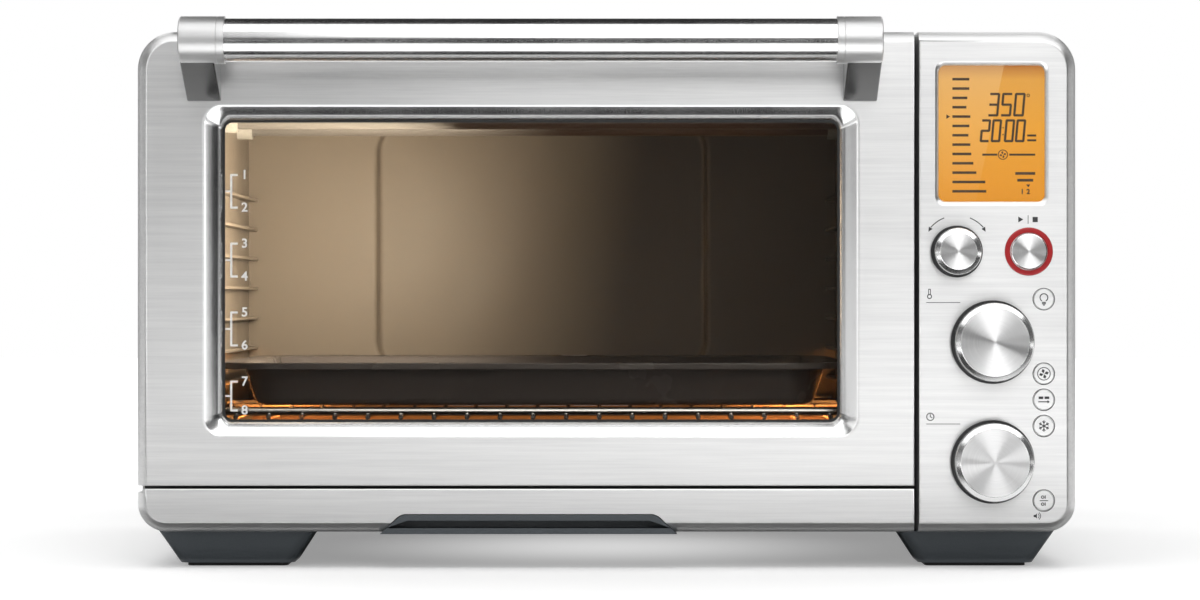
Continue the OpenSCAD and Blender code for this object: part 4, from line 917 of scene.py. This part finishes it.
dial("temp_dial", "temp_knob", 22.7, 17.0)
dial("time_dial", "time_knob", 22.7, 17.0)
dial("select_dial", "select_knob", 13.5, 15.0)
turned("start_ring", [
    (10.9, -3.9), (10.9, 0.9), (11.1, 1.12), (11.4, 1.2), (13.2, 1.2), (13.75, 1.0), (14.0, 0.5), (14.0, 0.0),
    (12.6, 0.0), (12.6, -3.9), (10.9, -3.9)], [red_gloss], "chassis")
turned("start_button", [
    (1.8, -9), (1.8, -5.3), (11.9, -5.25), (11.9, -4.1), (10.5, -4.05), (10.5, 2.4, 1), (10.3, 2.8, 1), (9.9, 3.0, 1),
    (9.6, 2.95), (5.0, 2.95), (0.3, 2.95), (0, 2.95)], [spun_steel, handle_steel], "start_key",
    about="start_ring")
for key in button_spots:
    turned(key + "_button", [
        (1.8, -9), (1.8, -3.1), (7.05, -3.05), (7.05, -1.55), (5.75, -1.55), (5.75, 0.4), (5.65, 0.6), (5.4, KEY_OUT),
        (3.0, KEY_OUT), (0.2, KEY_OUT), (0, KEY_OUT)], [front_steel], key + "_key", n=64)

# %% [markdown]
# ## Printed marks
# Marks are thin films on a face. Words are left out; what stands in their place is plain: numbers for the rack heights,
# simple signs on the buttons and bars on the display. Each mark is a flat polygon, which stays crisp at any distance
# where a painted image would blur.

# %% Flat shapes
HEAVIER = 1.25


def strokes(points, width, closed=False):
    """Quads along a polyline in X and Z."""
    quads = []
    pts = points + [points[0]] if closed else points
    for (x0, z0), (x1, z1) in zip(pts, pts[1:]):
        half = HEAVIER * width / 2 / (math.hypot(x1 - x0, z1 - z0) or 1.0)
        ux, uz = (x1 - x0) * half, (z1 - z0) * half
        quads.append([(x0 - ux * 0.6 + uz, z0 - uz * 0.6 - ux), (x1 + ux * 0.6 + uz, z1 + uz * 0.6 - ux),
                      (x1 + ux * 0.6 - uz, z1 + uz * 0.6 + ux), (x0 - ux * 0.6 - uz, z0 - uz * 0.6 + ux)])
    return quads


def line(x0, z0, x1, z1, width):
    return strokes([(x0, z0), (x1, z1)], width)


def ring_mark(x, z, r, width, n=40, a0=0, a1=360):
    """A thin ring or arc."""
    whole = a1 - a0 >= 360
    return strokes(arc(x, z, r, a0, a1, n)[:n if whole else None], width, whole)


def bar(x0, z0, x1, z1):
    return [[(x0, z0), (x1, z0), (x1, z1), (x0, z1)]]


def fan_blades(*radii):
    """Four blades about the origin."""
    corners = list(zip(radii, (0, -0.55, -0.05, 0.45)))
    turns = [math.radians(90 * k + 20) for k in range(4)]
    return [[(r * math.cos(a + t), r * math.sin(a + t)) for r, t in corners] for a in turns]


def moved(shapes, x, z, times=1.0):
    """Shapes drawn about the origin, made larger and set at a point."""
    return [[(x + a * times, z + b * times) for a, b in shape] for shape in shapes]


print("strokes are drawn", HEAVIER, "times as heavy as their width says")

# %% Films and numbers
FILM, STEP, INK_SPREAD = 0.02, 0.0004, 0.00016


def film(name, shapes, y, material, body):
    """Flat shapes at a depth, facing the front, each a hair in front of the last."""
    verts, faces = [], []
    for k, shape in enumerate(shapes):
        area = sum(a[0] * b[1] - b[0] * a[1] for a, b in zip(shape, shape[1:] + shape[:1]))
        faces.append(tuple(range(len(verts), len(verts) + len(shape))))
        verts += [(x, y - STEP * (k % 7), z) for x, z in (shape if area > 0 else shape[::-1])]
    me = bpy.data.meshes.new(name)
    me.from_pydata([Vector(v) * MM for v in verts], [], faces)
    place(name, me, material, body)


def numbers(name, items, size, y, material, body):
    """Plain numbers from Blender's own font, as one flat mesh. Items are (text, x, z), centred."""
    flat = []
    for text, x, z in items:
        curve = bpy.data.curves.new("number", "FONT")
        curve.body, curve.size, curve.offset = text, size * MM, INK_SPREAD
        curve.align_x = curve.align_y = "CENTER"
        flat.append(baked(curve))
        flat[-1].transform(Matrix.Translation(Vector((x, y, z)) * MM) @ Matrix.Rotation(math.radians(90), 4, "X"))
    place(name, joined(name, flat), material, body)


print("marks lie", FILM, "mm off their face")

# %% [markdown]
# ### Rack marks on the glass
# Four white brackets pair the eight rack heights. Photograph pixels become millimetres on the front plane by one scale.

# %% Glass print
PX = 0.5803
ROWS_PX = [174.5, 207.2, 243.4, 276.4, 312.5, 345.6, 381.9, 410.9]


def px(x, y):
    """Photograph pixel to X and Z on the front plane."""
    return (x - 600) * PX + EYE_X, EYE_Z + (300 - y) * PX


glass_y = glass_lo.y - FILM
shapes = []
for a, b in zip(ROWS_PX[::2], ROWS_PX[1::2]):
    (x0, za), (x1, zb) = px(229.6, a), px(235.6, b)
    shapes += strokes([(x1, za), (x0, za), (x0, zb), (x1, zb)], 0.95)
    shapes += line(px(224.2, 0)[0], (za + zb) / 2, x0, (za + zb) / 2, 0.85)
film("rack_brackets", shapes, glass_y, white_print, "door")
numbers("rack_numbers", [(str(i + 1), *px(243.0, y)) for i, y in enumerate(ROWS_PX)], 7.4, glass_y, white_print,
        "door")
print("glass print:", len(shapes), "strokes,", len(ROWS_PX), "numbers")

# %% [markdown]
# ### Signs on the panel and the buttons
# The panel has two turning arrows over the select dial, a thermometer and a clock with their lines beside the large
# dials, play and stop signs, a speaker, and a fine ring round each button. The buttons have a bulb, a fan, two phases,
# a flake and a unit sign. Each sign is drawn about the origin and then set in its place.

# %% Panel marks
ARROW_R, FINE, RIM_R = 20.3, 0.3, 6.35
sel_x, sel_z = px(957, 250.5)
marks = ring_mark(sel_x, sel_z, ARROW_R, 0.45, 12, 112, 138) + ring_mark(sel_x, sel_z, ARROW_R, 0.45, 12, 42, 68)
for sign in (-1, 1):
    marks += moved([[(0, 0), (-sign * 0.3, 3.0), (-sign * 2.4, 1.6)]], sel_x + sign * 16.6, sel_z + 10.9)
for y in (302.5, 424.0):
    marks += line(*px(926.5, y), *px(960, y), FINE)
thermometer = (ring_mark(0, -0.6, 1.15, 0.45, 20) + line(-0.55, 0.4, -0.55, 3.4, 0.35)
               + line(0.55, 0.4, 0.55, 3.4, 0.35) + line(-0.5, 3.6, 0.5, 3.6, 0.4))
clock = ring_mark(0, 0, 2.1, 0.45, 28) + strokes([(0, 1.4), (0, 0), (1.0, -0.5)], 0.4)
play_stop = [[(-1.3, -1.7), (1.6, 0), (-1.3, 1.7)]] + line(4.4, -2.4, 4.4, 2.4, FINE) + bar(7.0, -1.5, 10.0, 1.5)
speaker = ([[(-1.4, -0.6), (-0.5, -0.6), (0.5, -1.5), (0.5, 1.5), (-0.5, 0.6), (-1.4, 0.6)]]
           + ring_mark(0.2, 0, 1.6, FINE, 8, -50, 50) + ring_mark(0.2, 0, 2.5, FINE, 8, -50, 50))
for drawing, x, y in ((thermometer, 929.5, 295.5), (clock, 930.3, 416.8), (play_stop, 1020.5, 219.5),
                      (speaker, 1036, 516)):
    marks += moved(drawing, *px(x, y))
for spot in button_spots.values():
    marks += ring_mark(*spot, RIM_R, FINE, 48)
film("panel_signs", marks, FACE - FILM, dark_print, "chassis")
print("panel signs:", len(marks), "shapes")

# %% Button signs
flake = []
for k in range(6):
    a = math.radians(60 * k + 90)
    ux, uz = math.cos(a), math.sin(a)
    flake += line(0, 0, 2.4 * ux, 2.4 * uz, 0.36)
    for b in (a - 0.75, a + 0.75):
        flake += line(1.35 * ux, 1.35 * uz, 1.35 * ux + 0.9 * math.cos(b), 1.35 * uz + 0.9 * math.sin(b), 0.32)
signs = {
    "light": ring_mark(0, 0.7, 1.75, 0.38, 24, -55, 235) + line(-0.75, -1.5, 0.75, -1.5, 0.38)
    + line(-0.75, -2.1, 0.75, -2.1, 0.38) + bar(-0.45, -2.9, 0.45, -2.45),
    "fan": ring_mark(0, 0, 2.85, FINE, 32) + fan_blades(0.2, 1.7, 2.3, 1.5),
    "phase": bar(-2.4, 0.35, -0.3, 1.5) + bar(0.3, 0.35, 2.4, 1.5) + line(-2.4, -0.9, 2.0, -0.9, 0.4)
    + [[(1.6, -1.6), (2.7, -0.9), (1.6, -0.2)]],
    "frozen": flake,
    "unit": line(-1.9, 0, 1.9, 0, 0.35) + ring_mark(-0.6, 1.7, 0.6, 0.35, 16) + ring_mark(-0.6, -1.7, 0.6, 0.35, 16)
    + line(0.6, 1.1, 0.6, 2.4, 0.4) + line(0.6, -2.3, 0.6, -1.0, 0.4)}
for key, drawing in signs.items():
    film(key + "_sign", moved(drawing, *button_spots[key], 1.2 if key == "unit" else 1.28), FACE - KEY_OUT - FILM,
         dark_print, key + "_key")
print("signs on", len(signs), "buttons")

# %% [markdown]
# ## Display
# A backlit liquid crystal panel: the amber light is evener at the bottom, and the browner band under the top edge is
# painted shade from the bezel. One slanting band of paler amber is a painted reflection of a soft box in the lens.
# The figures are dark segments just in front of the light, under a clear lens.

# %% Backlight
amber, t, p = finish("amber_backlight", (0.10, 0.05, 0.01), 0.4, Emission_Strength=1.0)
coords, split, rise = (node(t, kind) for kind in ("TexCoord", "SeparateXYZ", "ValToRGB"))
height = node(t, "MapRange", From_Min=DISPLAY[1] * MM, From_Max=DISPLAY[3] * MM)
# The ramp's browner top end is painted shade under the bezel's top edge.
ramp_colours(rise, (0.70, 0.26, 0.0, 1), (0.42, 0.14, 0.02, 1), (0.12, (0.73, 0.28, 0.0, 1)),
             (0.55, (0.76, 0.33, 0.015, 1)), (0.9, (0.70, 0.33, 0.045, 1)))
# The paler band left of a slanting line, stronger towards the top, is a painted reflection of a soft box in the lens.
(xa, za), (xb, zb) = px(1004.5, 66), px(977, 200)
slant = (xa - xb) / (za - zb)
lean = node(t, "Math", operation="MULTIPLY_ADD", at={1: -slant})
left_of = node(t, "Math", operation="LESS_THAN", at={1: (xa - slant * za) * MM})
painted_reflection_mask = node(t, "Math", operation="MULTIPLY")
painted_reflection = node(t, "Mix", data_type="RGBA", at={7: (1.0, 0.78, 0.45, 1)})
spread(t, height.outputs[0], 0.02, 0.22, painted_reflection_mask.inputs[0])
wire(t, (coords, "Object", split, 0), (split, "Z", height, "Value"), (height, 0, rise, 0), (split, "Z", lean, 0),
     (split, "X", lean, 2), (lean, 0, left_of, 0), (left_of, 0, painted_reflection_mask, 1), (painted_reflection_mask, 0, painted_reflection, 0),
     (rise, "Color", painted_reflection, 6), (painted_reflection, 2, p, "Emission Color"))
print("backlight from z =", round(DISPLAY[1], 1), "to", round(DISPLAY[3], 1), "mm")

# %% Lens and light
LIGHT_PAST = 0.9
lcd_lo, lcd_hi = span("lcd_module")
light = prism(frame_round(DISPLAY, LIGHT_PAST, LIGHT_PAST, 3.0), lcd_lo.y, lcd_hi.y)
place("display_light", raw_mesh("display_light", *light), amber, "chassis", ["lcd_module"])
lens = prism(rounded(lens_lo.x, lens_lo.z, lens_hi.x, lens_hi.z, DISPLAY_R), lens_lo.y, lens_hi.y)
place("display_glass", raw_mesh("display_glass", *lens), lens_glass, "chassis", ["display_lens"])
print("lens", round(lens_hi.y - lens_lo.y, 1), "mm thick")

# %% [markdown]
# ### Figures
# The two large figures are made of seven bars each digit, leaning a little, as such displays have. Plain bars stand
# for the rows of words, and small arrows point at the chosen row and step.

# %% Display figures
LIT = {"0": "abcdef", "2": "abged", "3": "abgcd", "5": "afgcd"}
SEGMENT, SEGMENT_GAP, LEAN = 1.1, 0.18, 0.09
ROW_BARS = [17, 17, 15, 14, 18, 17, 16, 18, 19, 21, 24, 33, 34]


def segment_digit(value, x, z, w, h):
    """The lit bars of a digit, its lower left corner at x and z."""
    g, m = SEGMENT_GAP, h / 2
    bars = {"a": (g, h, w - g, h), "d": (g, 0, w - g, 0), "g": (g, m, w - g, m), "f": (0, m + g, 0, h - g),
            "b": (w, m + g, w, h - g), "e": (0, g, 0, m - g), "c": (w, g, w, m - g)}
    shapes = []
    for x0, z0, x1, z1 in (bars[k] for k in LIT[value]):
        shapes += line(x + x0 + LEAN * z0, z + z0, x + x1 + LEAN * z1, z + z1, SEGMENT)
    return shapes


def dash(x_px, y_px, long_px, half):
    """A bar from a photograph pixel to the right."""
    x, z = px(x_px, y_px)
    return bar(x, z - half, x + long_px * PX, z + half)


shapes = []
x0, z0 = px(990.5, 115.0)
for k, value in enumerate("350"):
    shapes += segment_digit(value, x0 - 0.6 + k * 7.4, z0, 4.9, 12.4)
x0, z0 = px(982.5, 140.8)
for k, value in enumerate("2000"):
    shapes += segment_digit(value, x0 - 0.6 + k * 6.4 + (1.2 if k > 1 else 0), z0, 4.3, 12.0)
colon = px(1003.8, 0)[0]
for up in (3.4, 7.4):
    shapes += bar(colon - 0.35, z0 + up, colon + 0.35, z0 + up + 0.7)
shapes += ring_mark(*px(1029, 95.0), 0.75, 0.35, 16)
for k, long_px in enumerate(ROW_BARS):
    shapes += dash(953, 78.8 + 9.36 * k, long_px, 0.75)
shapes += moved([[(-2.2, -1.3), (0, 0), (-2.2, 1.3)]], *px(950.8, 116.3))
shapes += dash(1028, 135.2, 9, 0.6) + dash(1028, 140.0, 9, 0.6)
shapes += moved(ring_mark(0, 0, 2.7, 0.4, 28) + fan_blades(0.2, 1.6, 2.1, 1.4), *px(1003.6, 154.4))
shapes += dash(983, 154.4, 15, 0.6) + dash(1010, 154.4, 26, 0.6)
shapes += dash(1016, 173.2, 20, 0.8) + dash(1018, 180.0, 16, 0.8)
shapes += moved([[(-1.2, 0.8), (0, -0.9), (1.2, 0.8)]], *px(1029, 185.6))
film("display_figures", shapes, lcd_lo.y - 0.03, lcd_ink, "chassis")
numbers("display_steps", [("1", *px(1023, 191.6)), ("2", *px(1029, 191.6))], 4.0, lcd_lo.y - 0.04, lcd_ink, "chassis")
print("display figures:", len(shapes), "marks")

# %% [markdown]
# ## Finishes on the CAD pieces
# Flat panes, boards and hidden pieces need no new shape: they keep the CAD's own and only get a finish. Eleven pieces
# with long visible edges are copied, their loose triangles merged, and their edges rounded, since no real sheet or
# moulding has a perfectly sharp edge.

# %% Finishes on the CAD pieces
for material, pieces in (
        (door_glass, "outer_glass inner_glass"), (lens_glass, "lamp_lens lamp_bulb"),
        (rubber, "window_seal door_bumpers"), (wool, "insulation_blanket"), (board_green, "control_board power_board"),
        (dark_sheet, "control_bulkhead fan_housing fan_motor hinge_brackets hinge_knuckles"),
        (cavity_paint, "cavity_left_wall cavity_right_wall cavity_ceiling floor_slopes"),
        (black_plastic, "panel_switches select_plunger"), (tray_sheet, "lamp_housing fan_impeller"),
        (wire_chrome, "handle_screws temperature_probe"), (white_ceramic, "heater_caps"),
        (quartz_high, "upper_heaters"), (quartz_low, "lower_heaters")):
    for piece in pieces.split():
        me = frame["nodes"][piece].data
        me.materials.clear()
        me.materials.append(material)
ROUNDED = (
    ("feet", 0.8, slate_plastic, "slate_plastic"), ("foot_pads", 0.4, rubber, "rubber"),
    ("tray_grip", 0.45, slate_plastic, "slate_plastic"), ("crumb_tray", 0.2, tray_sheet, "tray_sheet"),
    ("cord_gland", 0.4, black_plastic, "black_plastic"), ("rack_rails", 0.6, cavity_paint, "cavity_enamel"),
    ("outer_wrap", 0.25, wrap_steel, "case_steel"), ("rear_panel", 0.25, dark_sheet, "dark_sheet"),
    ("base_pan", 0.25, dark_sheet, "dark_sheet"), ("front_frame", 0.3, door_paint, "dark_sheet"),
    ("door_liner", 0.4, door_paint, "dark_sheet"))
for row in ROUNDED:
    eased(*row)
print("pieces with rounded edges:", len(ROUNDED))

# %% [markdown]
# ## Cavity back wall
# One pressed sheet with a shallow dish. Its rim is a soft double bend, which is the pale curved line that shows behind
# the window.

# %% Back wall
DISH_HALF, DISH_UP, DISH_DOWN, DISH_R = 112.0, 77.5, 12.0, 18
DISH_BEND = [(4.0, 0.0), (2.9, 0.12), (1.8, 0.5), (0.9, 1.3), (0.3, 2.8), (0.0, 4.2), (-0.5, 6.2), (-1.4, 7.3),
             (-2.6, 7.85), (-4.0, 8.0)]
wall_lo, wall_hi = span("cavity_back_wall")
dish_mid, wall_depth = middle("cavity_back_wall")[0], wall_lo.y - FACE
dish = (dish_mid - DISH_HALF, wall_lo.z + DISH_UP, dish_mid + DISH_HALF, wall_hi.z - DISH_DOWN)
skin = Skin()
edge = skin.rings([(bar(wall_lo.x, wall_lo.z, wall_hi.x, wall_hi.z)[0], wall_depth)])
rows = skin.rings([(frame_round(dish, g, g, DISH_R + g, 12), wall_depth + d) for g, d in DISH_BEND])
skin.fill(edge[0], rows[0])
skin.fill(rows[-1])
place("back_wall_pressed", raw_mesh("back_wall_pressed", skin.verts, skin.faces, recalc=False), cavity_paint,
      "chassis", ["cavity_back_wall"], 60)
print("back wall dish", [round(v, 1) for v in dish])

# %% [markdown]
# ## Roasting pan
# A pressed enamel pan: a folded lip, a wide rim and walls that lean in to a flat floor, all from one profile carried
# round a rounded rectangle. The second list is the same profile seen from below.

# %% Pan
PAN_R, LEAST_R = 40, 6
UPPER = [(1.4, -4.0), (0.5, -4.0), (0.0, -3.5), (0.0, -0.9), (0.25, -0.3), (0.9, 0.0), (2.2, -0.15), (14.2, -0.25),
         (15.6, -0.45), (16.5, -1.1), (17.0, -2.2), (22.6, -19.5), (23.6, -22.0), (25.4, -23.8), (28.0, -24.55)]
UNDER = [(28.0, -26.0), (25.0, -25.6), (22.6, -24.0), (21.4, -21.5), (15.7, -2.6), (15.0, -1.7), (14.0, -1.5),
         (2.2, -1.5), (1.4, -1.7)]
pan_lo, pan_hi = span("roasting_pan")
verts, faces, rows = [], [], []
for inset, dz in UPPER + UNDER:
    loop = frame_round((pan_lo.x, pan_lo.y, pan_hi.x, pan_hi.y), -inset, -inset, max(PAN_R - inset, LEAST_R), 12)
    rows.append(range(len(verts), len(verts) + len(loop)))
    verts += [(x, y, pan_hi.z + dz) for x, y in loop]
upper, under = rows[:len(UPPER)], rows[len(UPPER):]
for a, b in [*zip(upper, upper[1:]), *zip(under, under[1:]), (under[-1], upper[0])]:
    faces += band(a, b)
faces += [upper[-1], under[0]]
pan = place("roasting_pan_pressed", raw_mesh("roasting_pan_pressed", verts, faces), pan_enamel, "pan",
            ["roasting_pan"])
print("pan:", len(pan.data.polygons), "faces")

# %% [markdown]
# ## Wires and screws by Geometry Nodes
# The rack is the same wire many times, so one tree lays a wire along each point of a row. The screws on the back are
# one head set on many points. A loop in Python could copy meshes, but a tree keeps its sizes as named inputs.

# %% Trees
def geometry_tree(name, **inputs):
    """An empty Geometry Nodes tree with named inputs and a material."""
    g = bpy.data.node_groups.new(name, "GeometryNodeTree")
    ids = {}
    for label, kind in (("Geometry", "Geometry"), *inputs.items(), ("Material", "Material")):
        ids[label] = g.interface.new_socket(name=label, in_out="INPUT", socket_type="NodeSocket" + kind).identifier
    g.interface.new_socket(name="Geometry", in_out="OUTPUT", socket_type="NodeSocketGeometry")
    return g, ids, g.nodes.new("NodeGroupInput")


def finish_tree(tree, last, gin):
    """Ends a tree in Realize Instances and Set Material."""
    real, paint = node(tree, "GeometryNodeRealizeInstances"), node(tree, "GeometryNodeSetMaterial")
    wire(tree, (last, 0, real, 0), (real, 0, paint, "Geometry"), (gin, "Material", paint, "Material"),
         (paint, 0, tree.nodes.new("NodeGroupOutput"), 0))


def run_tree(tree, ids, base, **values):
    """Runs a tree on a mesh, with lengths in millimetres, and returns the plain result."""
    sizes = {ids[label]: value if label in ("Count", "Material") else value * MM for label, value in values.items()}
    return baked(base, ("NODES", {"node_group": tree, **sizes}))


wires, wire_ids, gin = geometry_tree(
    "row_of_wires", Count="Int", First="Vector", Step="Vector", Along="Vector", Radius="Float")
row, one = node(wires, "GeometryNodeMeshLine"), node(wires, "GeometryNodeCurvePrimitiveLine")
section = node(wires, "GeometryNodeCurvePrimitiveCircle", Resolution=14)
body = node(wires, "GeometryNodeCurveToMesh", Fill_Caps=True)
lay = node(wires, "GeometryNodeInstanceOnPoints")
wire(wires, (gin, "Count", row, "Count"), (gin, "First", row, "Start Location"), (gin, "Step", row, "Offset"),
     (gin, "Along", one, "End"), (gin, "Radius", section, "Radius"), (one, 0, body, "Curve"),
     (section, 0, body, "Profile Curve"), (row, 0, lay, "Points"), (body, 0, lay, "Instance"))
finish_tree(wires, lay, gin)
print("inputs of the wire tree:", list(wire_ids))

# %% Rack
SLAT_R, BAR_R, SLAT_PITCH, BARS, BAR_IN = 1.5, 2.5, 20, 3, 3.5
lo, hi = span("wire_rack")
x0, x1 = lo.x + SLAT_R, hi.x - SLAT_R
count = round((x1 - x0) / SLAT_PITCH) + 1
slats = run_tree(wires, wire_ids, bpy.data.meshes.new("slats"), Count=count,
                 First=Vector((x0, lo.y, lo.z + SLAT_R)), Step=Vector(((x1 - x0) / (count - 1), 0, 0)),
                 Along=Vector((0, hi.y - lo.y, 0)), Radius=SLAT_R, Material=wire_chrome)
bars = run_tree(wires, wire_ids, bpy.data.meshes.new("bars"), Count=BARS,
                First=Vector((lo.x, lo.y + BAR_IN, hi.z - BAR_R)),
                Step=Vector((0, (hi.y - lo.y - 2 * BAR_IN) / (BARS - 1), 0)), Along=Vector((hi.x - lo.x, 0, 0)),
                Radius=BAR_R, Material=wire_chrome)
rack = joined("rack_wires", [slats, bars])
with edit(rack) as bm:
    bmesh.ops.recalc_face_normals(bm, faces=bm.faces)
place("rack_wires", rack, wire_chrome, "rack", ["wire_rack"])
print("rack:", count, "slats and", BARS, "bars")

# %% [markdown]
# ### Screws on the back
# A domed head with a cross recess, cut by a boolean inside the tree and set on the middles of the CAD's screws.

# %% Screws
HEAD_R, HEAD_HIGH, CROWN, APART = 3.3, 1.8, 0.72, 12
screws, screw_ids, gin = geometry_tree("cross_screws", Radius="Float", Height="Float", Slot="Vector", Across="Vector")
head = node(screws, "GeometryNodeMeshCone", Vertices=28)
crown = node(screws, "Math", operation="MULTIPLY", at={1: CROWN})
up = node(screws, "CombineXYZ")
minus = node(screws, "GeometryNodeMeshBoolean", operation="DIFFERENCE")
tilt = node(screws, "GeometryNodeTransform", Rotation=(math.radians(-90), 0, 0))
seat = node(screws, "GeometryNodeInstanceOnPoints")
wire(screws, (gin, "Radius", head, "Radius Bottom"), (gin, "Radius", crown, 0), (crown, 0, head, "Radius Top"),
     (gin, "Height", head, "Depth"), (gin, "Height", up, "Z"), (head, 0, minus, "Mesh 1"), (minus, 0, tilt, "Geometry"),
     (gin, "Geometry", seat, "Points"), (tilt, 0, seat, "Instance"))
for label in ("Slot", "Across"):
    tool, move = node(screws, "GeometryNodeMeshCube"), node(screws, "GeometryNodeTransform")
    wire(screws, (gin, label, tool, "Size"), (tool, 0, move, "Geometry"), (up, 0, move, "Translation"),
         (move, 0, minus, "Mesh 2"))
finish_tree(screws, seat, gin)

back = span("case_screws")[1].y
groups = []
for q in (v.co / MM for v in frame["nodes"]["case_screws"].data.vertices):
    if q.y > back - 0.05:
        near = next((g for g in groups if math.hypot(q.x - g[0].x, q.z - g[0].z) < APART), None)
        if near is None:
            near = []
            groups.append(near)
        near.append(q)
points = []
for g in groups:
    xs, zs = [q.x for q in g], [q.z for q in g]
    points.append(Vector(((min(xs) + max(xs)) / 2, back - HEAD_HIGH, (min(zs) + max(zs)) / 2)) * MM)
base = bpy.data.meshes.new("screw_points")
base.from_pydata(points, [], [])
heads = run_tree(screws, screw_ids, base, Radius=HEAD_R, Height=HEAD_HIGH, Slot=Vector((4.2, 0.8, 1.6)),
                 Across=Vector((0.8, 4.2, 1.6)), Material=wire_chrome)
place("back_screws", heads, wire_chrome, "chassis", ["case_screws"], 30)
print("screws:", len(points))

# %% [markdown]
# ## Light inside the cavity
# The lamp behind the round lens in the left wall lights the upper left of the cavity and leaves the right in brown
# shade. A small warm lamp in front of the lens does the same, and two embers low down stand for the heaters' glow.

# %% Cavity lights
def inner_light(name, kind, spot, watts, colour):
    """A lamp that is seen only by what it lights."""
    lamp = bpy.data.lights.new(name, kind)
    lamp.energy, lamp.color = watts, colour
    ob = put(name, lamp)
    ob.location = Vector(spot) * MM
    ob.visible_camera = ob.visible_glossy = ob.visible_transmission = False
    return ob


lo, hi = span("lamp_lens")
lamp = inner_light("cavity_lamp", "AREA", (hi.x + 95, (lo.y + hi.y) / 2 - 20, (lo.z + hi.z) / 2 - 56), 1.9,
                   (1.0, 0.89, 0.72))
lamp.data.shape, lamp.data.size, lamp.data.size_y = "RECTANGLE", 0.2, 0.07
lamp.rotation_euler = Vector((-0.8, 0.55, 0.12)).to_track_quat("-Z", "Y").to_euler()
for name, x, watts in (("glow_left", hi.x + 36, 1.0), ("glow_right", span("lower_heaters")[1].x - 36, 1.4)):
    inner_light(name, "POINT", (x, 10, 84), watts, (1.0, 0.46, 0.14)).data.shadow_soft_size = 0.01
print("cavity lamp at", [round(v, 3) for v in lamp.location])
